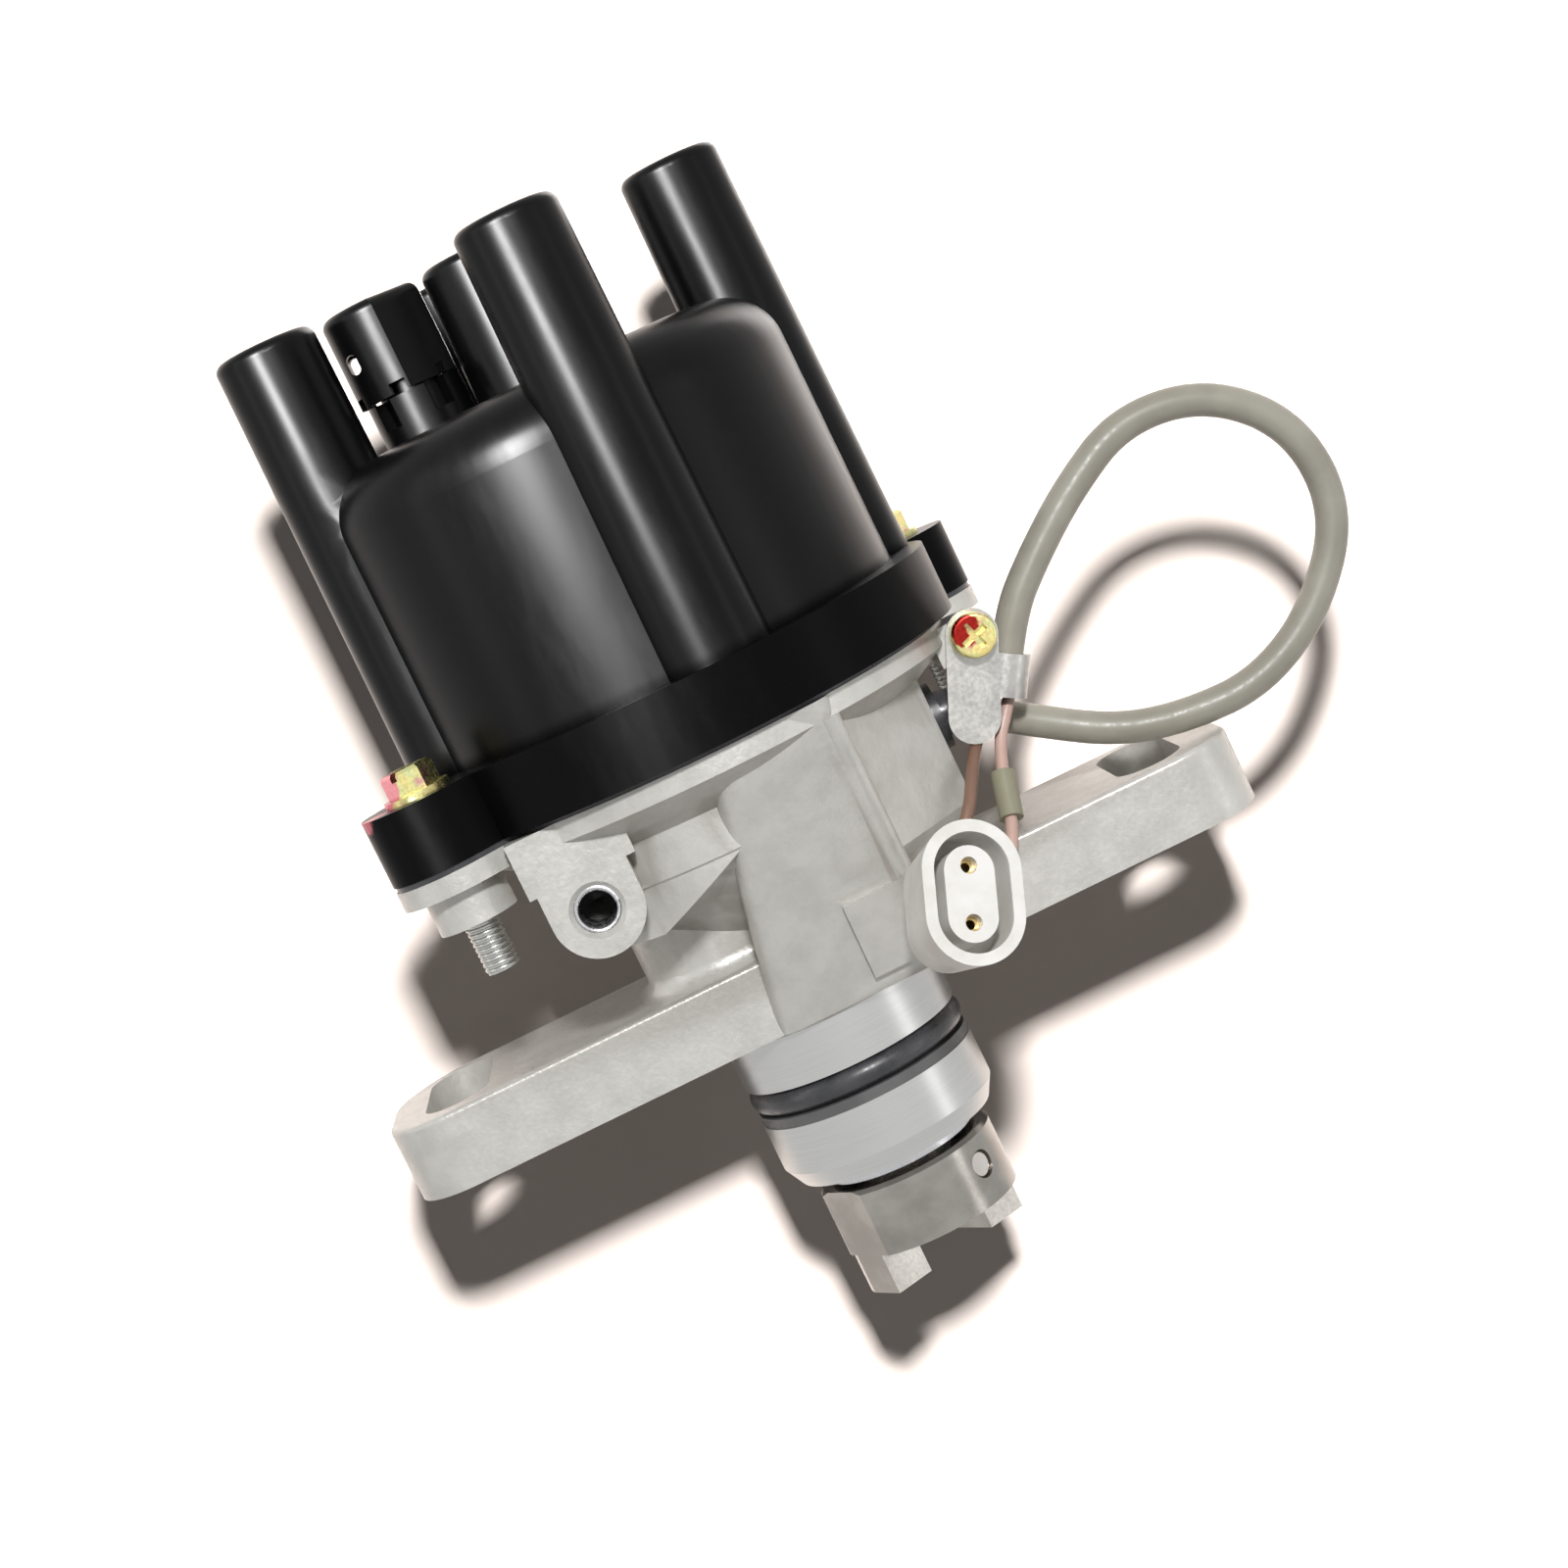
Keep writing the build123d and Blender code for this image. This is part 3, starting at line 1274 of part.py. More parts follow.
# Grommet where the lead leaves the housing, with an elbow that points the lead down
elbow_start_x = block_side_x + grommet_flange_thickness
elbow_run = (math.cos(math.radians(grommet_elbow_turn)), 0, -math.sin(math.radians(grommet_elbow_turn)))
elbow_end = (
    elbow_start_x - grommet_elbow_radius * elbow_run[2],
    lead_hole_y,
    lead_hole_z - grommet_elbow_radius * (1 - elbow_run[0]),
)
with BuildPart() as grommet:
    with BuildSketch(Plane.YZ.offset(cavity_radius)):
        with Locations((lead_hole_y, lead_hole_z)):
            Circle(lead_hole_radius)
    extrude(amount=block_side_x - cavity_radius)
    with BuildSketch(Plane.YZ.offset(block_side_x)):
        with Locations((lead_hole_y, lead_hole_z)):
            Circle(grommet_flange_radius)
    extrude(amount=grommet_flange_thickness)
    with BuildLine():
        elbow = TangentArc((elbow_start_x, lead_hole_y, lead_hole_z), elbow_end, tangent=(1, 0, 0))
    with BuildSketch(Plane(origin=elbow @ 0, z_dir=elbow % 0)):
        Circle(grommet_nose_radius)
    sweep()
finish(grommet.part, "grommet")

# Lead clip: a plate under the screw, rolled round the end of the sleeve
clip_ring_radius = sleeve_radius + clip_ring_clearance
clip_run = (-math.sin(math.radians(clip_ring_turn)), 0, -math.cos(math.radians(clip_ring_turn)))
clip_ring_plane = Plane(origin=(clip_ring_x, clip_ring_y, clip_ring_z), x_dir=(0, 1, 0), z_dir=clip_run)
with BuildPart() as lead_clip:
    with BuildSketch(Plane.XZ.offset(-clip_boss_face_y)):
        with Locations(((clip_screw_x + clip_foot_x) / 2, (clip_screw_z + clip_foot_z) / 2)):
            SlotCenterToCenter(
                math.hypot(clip_screw_x - clip_foot_x, clip_screw_z - clip_foot_z),
                clip_width,
                rotation=math.degrees(math.atan2(clip_screw_z - clip_foot_z, clip_screw_x - clip_foot_x)),
            )
        with Locations((clip_ring_x, clip_ring_z)):
            Rectangle(
                clip_ring_x - clip_foot_x,
                clip_ring_length,
                rotation=-clip_ring_turn,
                align=(Align.MAX, Align.CENTER),
            )
    extrude(amount=clip_thickness)
    with BuildSketch(clip_ring_plane.offset(-clip_ring_length / 2)):
        Circle(clip_ring_radius + clip_thickness)
    extrude(amount=clip_ring_length)
    with BuildSketch(clip_ring_plane.offset(-clip_ring_length)):
        Circle(clip_ring_radius)
    extrude(amount=2 * clip_ring_length, mode=Mode.SUBTRACT)
    with BuildSketch(Plane.XZ.offset(-clip_boss_face_y)):
        with Locations((clip_screw_x, clip_screw_z)):
            Circle(clip_screw_radius + thread_clearance)
    extrude(amount=clip_thickness, mode=Mode.SUBTRACT)
finish(lead_clip.part, "lead_clip")

clip_head_face = -clip_boss_face_y + clip_thickness + clip_head_height
with BuildPart() as clip_screw:
    with BuildSketch(Plane.XZ.offset(-clip_boss_face_y - clip_screw_length)):
        with Locations((clip_screw_x, clip_screw_z)):
            Circle(clip_screw_radius)
    extrude(amount=clip_screw_length + clip_thickness)
    with BuildSketch(Plane.XZ.offset(-clip_boss_face_y + clip_thickness)):
        with Locations((clip_screw_x, clip_screw_z)):
            Circle(clip_head_radius)
    extrude(amount=clip_head_height)
    fillet(clip_screw.edges().group_by(Axis.Y)[0], clip_head_edge)
    with BuildSketch(Plane.XZ.offset(clip_head_face - clip_cross_depth)):
        with Locations((clip_screw_x, clip_screw_z)):
            Rectangle(clip_cross_length, clip_cross_width, rotation=clip_cross_turn)
            Rectangle(clip_cross_width, clip_cross_length, rotation=clip_cross_turn)
    extrude(amount=clip_cross_depth, mode=Mode.SUBTRACT)
finish(clip_screw.part, "clip_screw")


def cord(name, route, radius):
    """Sweeps a round cord along its route and hands back the finished piece."""
    with BuildPart() as body:
        with BuildLine():
            path = FilletPolyline(*route, radius=corner_radii(route))
        with BuildSketch(Plane(origin=path @ 0, z_dir=path % 0)):
            Circle(radius)
        sweep()
    finish(body.part, name)
    return body.part


def along(start, run, distance):
    """The point some way along a straight run."""
    return tuple(place + distance * step for place, step in zip(start, run))


# Lead: one loop of sleeve from the grommet back to the clip
clip_ring_centre = (clip_ring_x, clip_ring_y, clip_ring_z)
sleeve_route = [
    elbow_end,
    along(elbow_end, elbow_run, sleeve_run_out),
    (57.0, -5.2, 17.2),
    (67.0, -7.0, 14.9),
    (79.0, -8.0, 14.8),
    (91.0, -8.0, 21.0),
    (100.5, -8.0, 33.0),
    (99.5, -8.0, 47.5),
    (89.5, -8.5, 57.5),
    (76.0, -9.0, 59.5),
    (64.5, -9.6, 53.5),
    (54.8, -10.2, 46.2),
    along(clip_ring_centre, clip_run, -sleeve_straight),
    clip_ring_centre,
]
cord("lead_sleeve", sleeve_route, sleeve_radius)

# Connector on the end of the wires, hanging in front of the right ear
connector_plane = Plane(origin=(face_x, face_y, face_z), x_dir=connector_long_axis, z_dir=connector_run)
cavity_points = [(cavity_pitch / 2, 0), (-cavity_pitch / 2, 0)]
with BuildPart() as connector_shell:
    with BuildSketch(connector_plane):
        SlotOverall(connector_height, connector_width)
    extrude(amount=connector_depth, taper=connector_taper)
    with BuildSketch(connector_plane):
        SlotOverall(connector_height - 2 * connector_wall, connector_width - 2 * connector_wall)
    extrude(amount=connector_mouth_depth, mode=Mode.SUBTRACT)
    with BuildSketch(connector_plane.offset(connector_core_inset)):
        SlotOverall(core_height, core_width)
    extrude(amount=connector_mouth_depth - connector_core_inset)
    with BuildSketch(connector_plane.offset(connector_depth)):
        with Locations(*cavity_points):
            Circle(collar_radius)
    extrude(amount=collar_length)
    with BuildSketch(connector_plane):
        with Locations(*cavity_points):
            Circle(cavity_radius_front)
    extrude(amount=connector_depth - cavity_floor, mode=Mode.SUBTRACT)
    with BuildSketch(connector_plane.offset(connector_depth)):
        with Locations(*cavity_points):
            Circle(wire_radius)
    extrude(amount=collar_length, mode=Mode.SUBTRACT)
finish(connector_shell.part, "connector_shell")

with BuildPart() as connector_terminals:
    with BuildSketch(connector_plane.offset(connector_core_inset + terminal_inset)):
        with Locations(*cavity_points):
            Circle(cavity_radius_front)
            Circle(terminal_bore, mode=Mode.SUBTRACT)
    extrude(amount=connector_depth - cavity_floor - connector_core_inset - terminal_inset)
finish(connector_terminals.part, "connector_terminals")

# The two wires from the sleeve's end to the connector
wire_side = (math.cos(math.radians(clip_ring_turn)), 0, -math.sin(math.radians(clip_ring_turn)))
brown_start = along(clip_ring_centre, wire_side, -wire_pitch)
pink_start = along(clip_ring_centre, wire_side, wire_pitch)
brown_route = [
    brown_start,
    along(brown_start, clip_run, wire_straight),
    (36.8, -10.8, 26.6),
    (33.6, -15.8, 23.2),
    (30.0, -20.6, 18.0),
    (24.5, -22.0, 14.0),
    tuple(connector_plane.from_local_coords((cavity_pitch / 2, 0, connector_depth + wire_run_out))),
    tuple(connector_plane.from_local_coords((cavity_pitch / 2, 0, connector_depth))),
]
pink_route = [
    pink_start,
    along(pink_start, clip_run, wire_straight),
    (38.6, -12.2, 24.0),
    (34.4, -20.5, 10.5),
    (28.0, -23.4, 7.6),
    (22.0, -24.6, 5.4),
    tuple(connector_plane.from_local_coords((-cavity_pitch / 2, 0, connector_depth + wire_run_out))),
    tuple(connector_plane.from_local_coords((-cavity_pitch / 2, 0, connector_depth))),
]
cord("brown_wire", brown_route, wire_radius)
cord("pink_wire", pink_route, wire_radius)

# Short sleeve over the joint in the second wire
splice_run = (Vector(*pink_route[3]) - Vector(*pink_route[2])).normalized()
splice_start = Vector(*pink_route[2]) + splice_run * splice_offset
with BuildPart() as wire_splice:
    with BuildSketch(Plane(origin=splice_start, z_dir=splice_run)):
        Circle(splice_radius)
        Circle(wire_radius, mode=Mode.SUBTRACT)
    extrude(amount=splice_length)
finish(wire_splice.part, "wire_splice")
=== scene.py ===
"""Looks of the ignition distributor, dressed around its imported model.

Everything is in metres in the row frame: the origin is on the shaft at the ears' lower face, +Z points to the
cap and +X to the side the lead leaves on.
"""
import json
import logging
import math
from dataclasses import dataclass, field
from enum import Enum

import bpy
from mathutils import Matrix, Vector


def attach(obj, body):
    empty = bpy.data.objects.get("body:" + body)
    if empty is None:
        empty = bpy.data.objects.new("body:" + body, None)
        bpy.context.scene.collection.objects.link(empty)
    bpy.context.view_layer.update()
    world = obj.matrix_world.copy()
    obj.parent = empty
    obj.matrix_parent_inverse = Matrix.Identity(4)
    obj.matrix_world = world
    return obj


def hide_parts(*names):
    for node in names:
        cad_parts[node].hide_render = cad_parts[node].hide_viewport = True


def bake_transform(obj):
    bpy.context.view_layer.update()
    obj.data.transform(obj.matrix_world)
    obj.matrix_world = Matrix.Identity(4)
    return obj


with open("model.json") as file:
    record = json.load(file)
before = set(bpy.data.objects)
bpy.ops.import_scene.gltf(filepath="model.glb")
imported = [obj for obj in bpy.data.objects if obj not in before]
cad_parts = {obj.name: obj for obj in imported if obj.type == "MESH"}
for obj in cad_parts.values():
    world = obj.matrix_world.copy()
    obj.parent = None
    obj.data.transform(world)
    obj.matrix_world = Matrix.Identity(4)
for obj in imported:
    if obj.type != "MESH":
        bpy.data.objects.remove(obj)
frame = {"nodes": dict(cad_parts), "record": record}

log = logging.getLogger("distributor")
Colour = tuple[float, float, float]
Point = tuple[float, float, float]
MM = 0.001


class Body(Enum):
    """The bodies that pieces ride on."""

    HOUSING = "housing_body"
    BRUSH = "brush_body"


class Graph:
    """A material's node graph, with short calls for the nodes that the finishes share."""

    def __init__(self, name: str) -> None:
        """Starts a material with one Principled shader.

        Args:
            name: the material's name.
        """
        self.material = bpy.data.materials.new(name)
        self.material.use_nodes = True
        self.tree = self.material.node_tree
        self.shader = self.tree.nodes["Principled BSDF"]
        self.place = self.tree.nodes.new("ShaderNodeTexCoord").outputs["Object"]

    def feed(self, socket: bpy.types.NodeSocket, value: object) -> None:
        """Links a socket to another, or sets it to a plain value.

        Args:
            socket: the input to set.
            value: an output socket, a number or a colour.
        """
        if isinstance(value, bpy.types.NodeSocket):
            self.tree.links.new(value, socket)
        elif isinstance(value, tuple) and len(value) == 3 and socket.type == "RGBA":
            socket.default_value = (*value, 1.0)
        else:
            socket.default_value = value

    def set(self, **values: object) -> None:
        """Sets inputs of the Principled shader, with underscores for the spaces in their names."""
        for name, value in values.items():
            self.feed(self.shader.inputs[name.replace("_", " ")], value)

    def noise(
        self,
        scale: float,
        detail: float = 3.0,
        roughness: float = 0.55,
        stretch: Point = (1.0, 1.0, 1.0),
        turn: Point = (0.0, 0.0, 0.0),
    ) -> bpy.types.NodeSocket:
        """A noise pattern on Object coordinates.

        Args:
            scale: how many times the pattern repeats in a metre.
            detail: how many finer layers it has.
            roughness: how strong the finer layers are.
            stretch: a factor for each axis.
            turn: rotation of the pattern, in radians.

        Returns:
            The pattern's value, from 0 to 1.
        """
        mapping = self.tree.nodes.new("ShaderNodeMapping")
        self.feed(mapping.inputs["Vector"], self.place)
        mapping.inputs["Scale"].default_value = stretch
        mapping.inputs["Rotation"].default_value = turn
        node = self.tree.nodes.new("ShaderNodeTexNoise")
        self.feed(node.inputs["Vector"], mapping.outputs["Vector"])
        node.inputs["Scale"].default_value = scale
        node.inputs["Detail"].default_value = detail
        node.inputs["Roughness"].default_value = roughness
        return node.outputs["Fac"]

    def axis(self, name: str) -> bpy.types.NodeSocket:
        """One of the place's coordinates, X, Y or Z, in metres."""
        node = self.tree.nodes.new("ShaderNodeSeparateXYZ")
        self.feed(node.inputs["Vector"], self.place)
        return node.outputs[name]

    def sum(self, operation: str, first: object, second: object = 0.0) -> bpy.types.NodeSocket:
        """The result of one Math node.

        Args:
            operation: the node's operation, such as ADD or MULTIPLY.
            first: a socket or a number.
            second: a socket or a number.

        Returns:
            The node's value.
        """
        node = self.tree.nodes.new("ShaderNodeMath")
        node.operation = operation
        self.feed(node.inputs[0], first)
        self.feed(node.inputs[1], second)
        return node.outputs["Value"]

    def span(
        self, value: object, low: float, high: float, to_low: float = 0.0, to_high: float = 1.0
    ) -> bpy.types.NodeSocket:
        """Maps a range of values to another, smoothly and with both ends held.

        Args:
            value: the socket to map.
            low: the value that gives to_low.
            high: the value that gives to_high.
            to_low: the result at low.
            to_high: the result at high.

        Returns:
            The mapped value.
        """
        node = self.tree.nodes.new("ShaderNodeMapRange")
        node.interpolation_type = "SMOOTHSTEP"
        self.feed(node.inputs["Value"], value)
        node.inputs["From Min"].default_value = low
        node.inputs["From Max"].default_value = high
        node.inputs["To Min"].default_value = to_low
        node.inputs["To Max"].default_value = to_high
        return node.outputs["Result"]

    def mix(self, share: object, first: object, second: object) -> bpy.types.NodeSocket:
        """Mixes two colours.

        Args:
            share: how much of the second colour shows, from 0 to 1.
            first: a colour or a socket.
            second: a colour or a socket.

        Returns:
            The mixed colour.
        """
        node = self.tree.nodes.new("ShaderNodeMix")
        node.data_type = "RGBA"
        self.feed(node.inputs["Factor"], share)
        self.feed(node.inputs[6], first)
        self.feed(node.inputs[7], second)
        return node.outputs[2]

    def near(self, centre: Point, radius: float, softness: float, ragged: float) -> bpy.types.NodeSocket:
        """A ragged patch round a point, for a dab of paint or a patch of painted shade.

        Args:
            centre: the patch's middle.
            radius: its radius.
            softness: the width of its edge.
            ragged: how far noise pushes the edge in and out.

        Returns:
            1 inside the patch and 0 outside.
        """
        node = self.tree.nodes.new("ShaderNodeVectorMath")
        node.operation = "DISTANCE"
        self.feed(node.inputs[0], self.place)
        node.inputs[1].default_value = centre
        push = self.sum("MULTIPLY", self.noise(700.0, 2.0), ragged)
        reach = self.sum("ADD", node.outputs["Value"], push)
        return self.span(reach, radius + ragged / 2 - softness, radius + ragged / 2 + softness, 1.0, 0.0)

    def ridge(self) -> bpy.types.NodeSocket:
        """High on outside edges and low in corners, for painted shade in the corners."""
        return self.tree.nodes.new("ShaderNodeNewGeometry").outputs["Pointiness"]

    def bump(
        self, height: object, strength: float, depth: float, over: object = None
    ) -> bpy.types.NodeSocket:
        """Gives the shader a bump.

        Args:
            height: the pattern that drives it.
            strength: its share, from 0 to 1.
            depth: the real depth of a full step, in metres.
            over: another bump's normal that this one lies on.

        Returns:
            The bump's normal, which the shader now takes.
        """
        node = self.tree.nodes.new("ShaderNodeBump")
        node.inputs["Strength"].default_value = strength
        node.inputs["Distance"].default_value = depth
        self.feed(node.inputs["Height"], height)
        if over is not None:
            self.feed(node.inputs["Normal"], over)
        self.feed(self.shader.inputs["Normal"], node.outputs["Normal"])
        return node.outputs["Normal"]


@dataclass(frozen=True)
class Finish:
    """A finish: a colour with its variation, a sheen and a fine grain."""

    name: str
    colour: Colour
    second: Colour
    roughness: float
    metallic: float = 0.0
    patch_scale: float = 60.0
    grain_scale: float = 1500.0
    grain_depth: float = 0.00003
    roughness_spread: float = 0.08
    specular: float = 0.5
    coat: float = 0.0
    coat_roughness: float = 0.1

    def material(self) -> bpy.types.Material:
        """The finish as a material."""
        return self.graph().material

    def graph(self) -> Graph:
        """Builds the shared part of the finish.

        Returns:
            The graph, for a finish that adds to it.
        """
        graph = Graph(self.name)
        patches = graph.noise(self.patch_scale, 4.0)
        grain = graph.noise(self.grain_scale, 3.0)
        graph.set(
            Base_Color=graph.mix(graph.span(patches, 0.35, 0.68), self.colour, self.second),
            Metallic=self.metallic,
            Roughness=graph.span(
                grain,
                0.3,
                0.7,
                self.roughness - self.roughness_spread,
                self.roughness + self.roughness_spread,
            ),
            Specular_IOR_Level=self.specular,
            Coat_Weight=self.coat,
            Coat_Roughness=self.coat_roughness,
        )
        graph.bump(grain, 0.5, self.grain_depth)
        return graph


@dataclass(frozen=True)
class CapPlastic(Finish):
    """Glossy moulded plastic with faint scuffs and dust, a smear of paint at one lug and a duller flange."""

    paint_centre: Point = (-0.0468, -0.0262, 0.0556)
    paint_radius: float = 0.0022
    paint_colour: Colour = (0.62, 0.16, 0.2)
    flange_top: float = 0.0557
    flange_fade: float = 0.002
    flange_specular: float = 0.045
    scuff_scale: float = 240.0
    scuff_stretch: Point = (1.0, 1.0, 0.25)
    dust_scale: float = 900.0
    dust_share: float = 0.35

    def graph(self) -> Graph:
        """Adds the scuffs, the dust and the paint to the plain finish, and dulls the flange."""
        graph = super().graph()
        scuffs = graph.noise(self.scuff_scale, 6.0, 0.7, stretch=self.scuff_stretch)
        dust = graph.span(graph.noise(self.dust_scale, 2.0), 0.62, 0.78, 0.0, self.dust_share)
        plain = graph.mix(dust, self.colour, self.second)
        paint = graph.near(self.paint_centre, self.paint_radius, 0.0003, 0.0014)
        graph.set(
            Base_Color=graph.mix(paint, plain, self.paint_colour),
            Roughness=graph.span(scuffs, 0.35, 0.75, self.roughness, self.roughness + self.roughness_spread),
            Specular_IOR_Level=graph.span(
                graph.axis("Z"),
                self.flange_top,
                self.flange_top + self.flange_fade,
                self.flange_specular,
                self.specular,
            ),
        )
        return graph


@dataclass(frozen=True)
class CastAlloy(Finish):
    """Blasted casting above the seat and bright turned metal below it, with painted shade in the corners."""

    turned_below: float = -0.0005
    turned_roughness: float = 0.3
    turned_metallic: float = 0.85
    turned_scale: float = 5200.0
    pore_scale: float = 1300.0
    # Painted shade in corners: full at corner_full pointiness, none above corner_clear.
    corner_full: float = 0.44
    corner_clear: float = 0.492
    corner_shade: float = 0.75
    # Painted shade: a dark patch on the tapped hole's bore, where light does not reach.
    bore_centre: Point = (-0.0238, -0.0257, 0.0308)
    bore_radius: float = 0.006
    bore_shade: Colour = (0.05, 0.048, 0.045)
    # The stain colour also serves as the painted shade in corners.
    stain_and_shade: Colour = (0.36, 0.34, 0.31)
    stain_scale: float = 95.0
    stain_share: float = 0.3
    turned_light: Colour = (0.5, 0.5, 0.49)
    turned_dark: Colour = (0.42, 0.42, 0.41)
    ring_stretch: Point = (0.02, 0.02, 1.0)
    ring_depth: float = 0.000006

    def graph(self) -> Graph:
        """Parts the cast skin from the turned spigot."""
        graph = Graph(self.name)
        height = graph.axis("Z")
        turned = graph.span(height, self.turned_below - 0.0001, self.turned_below + 0.0001, 1.0, 0.0)
        mottle = graph.noise(self.patch_scale, 5.0, 0.6)
        pores = graph.noise(self.pore_scale, 3.0, 0.6)
        stains = graph.span(graph.noise(self.stain_scale, 4.0, 0.7), 0.6, 0.82, 0.0, self.stain_share)
        cast = graph.mix(graph.span(mottle, 0.3, 0.7), self.colour, self.second)
        cast = graph.mix(stains, cast, self.stain_and_shade)
        # Painted shade: corners and creases, where pointiness is low, are darkened toward the stain colour.
        corners = graph.span(graph.ridge(), self.corner_full, self.corner_clear, self.corner_shade, 0.0)
        cast = graph.mix(corners, cast, self.stain_and_shade)
        # Painted shade inside the tapped hole.
        cast = graph.mix(graph.near(self.bore_centre, self.bore_radius, 0.0003, 0.0), cast, self.bore_shade)
        rings = graph.noise(self.turned_scale, 1.0, 0.4, stretch=self.ring_stretch)
        bright = graph.mix(graph.span(rings, 0.3, 0.7, 0.0, 0.35), self.turned_light, self.turned_dark)
        cast_rough = graph.span(pores, 0.3, 0.7, self.roughness - 0.06, self.roughness + 0.1)
        rough = graph.sum("ADD", graph.sum("MULTIPLY", cast_rough, graph.sum("SUBTRACT", 1.0, turned)),
                          graph.sum("MULTIPLY", turned, self.turned_roughness))
        graph.set(
            Base_Color=graph.mix(turned, cast, bright),
            Metallic=graph.span(turned, 0.0, 1.0, self.metallic, self.turned_metallic),
            Roughness=rough,
            Specular_IOR_Level=self.specular,
        )
        skin = graph.sum("MULTIPLY", graph.sum("ADD", pores, graph.sum("MULTIPLY", mottle, 1.5)),
                         graph.sum("SUBTRACT", 1.0, turned))
        cast_bump = graph.bump(skin, 0.75, self.grain_depth)
        graph.bump(graph.sum("MULTIPLY", rings, turned), 0.2, self.ring_depth, cast_bump)
        return graph


@dataclass(frozen=True)
class YellowZinc(Finish):
    """Yellow-passivated zinc on the heads, drifting to green and rose, with dabs of inspection paint."""

    dabs: tuple[tuple[Point, float, Colour], ...] = ()
    bare_below: float = 0.0365
    bare_colour: Colour = (0.42, 0.42, 0.4)
    drift_scale: float = 260.0
    rose_scale: float = 330.0
    rose: Colour = (0.62, 0.34, 0.3)

    def graph(self) -> Graph:
        """Adds the drift of colour and the paint."""
        graph = super().graph()
        drift = graph.noise(self.drift_scale, 3.0)
        plain = graph.mix(graph.span(drift, 0.35, 0.6), self.colour, self.second)
        plain = graph.mix(graph.span(graph.noise(self.rose_scale, 2.0), 0.58, 0.7), plain, self.rose)
        bare = graph.span(graph.axis("Z"), self.bare_below - 0.0002, self.bare_below + 0.0002, 1.0, 0.0)
        plain = graph.mix(bare, plain, self.bare_colour)
        for centre, radius, colour in self.dabs:
            plain = graph.mix(graph.near(centre, radius, 0.0002, 0.0012), plain, colour)
        graph.set(Base_Color=plain)
        return graph


@dataclass(frozen=True)
class TurnedSteel(Finish):
    """Steel with the fine rings that turning leaves round the shaft's axis."""

    ring_scale: float = 4200.0
    ring_stretch: Point = (0.04, 0.04, 1.0)
    ring_depth: float = 0.00002

    def graph(self) -> Graph:
        """Adds the rings to the plain finish."""
        graph = super().graph()
        rings = graph.noise(self.ring_scale, 2.0, 0.5, stretch=self.ring_stretch)
        graph.bump(rings, 0.35, self.ring_depth)
        return graph


@dataclass(frozen=True)
class Vinyl(Finish):
    """Soft satin tubing that shows a little of what is inside it."""

    scatter: float = 0.25
    scatter_radius: Point = (0.004, 0.004, 0.003)
    scatter_scale: float = 0.5

    def graph(self) -> Graph:
        """Adds the depth of the vinyl."""
        graph = super().graph()
        graph.set(
            Subsurface_Weight=self.scatter,
            Subsurface_Radius=self.scatter_radius,
            Subsurface_Scale=self.scatter_scale,
        )
        return graph


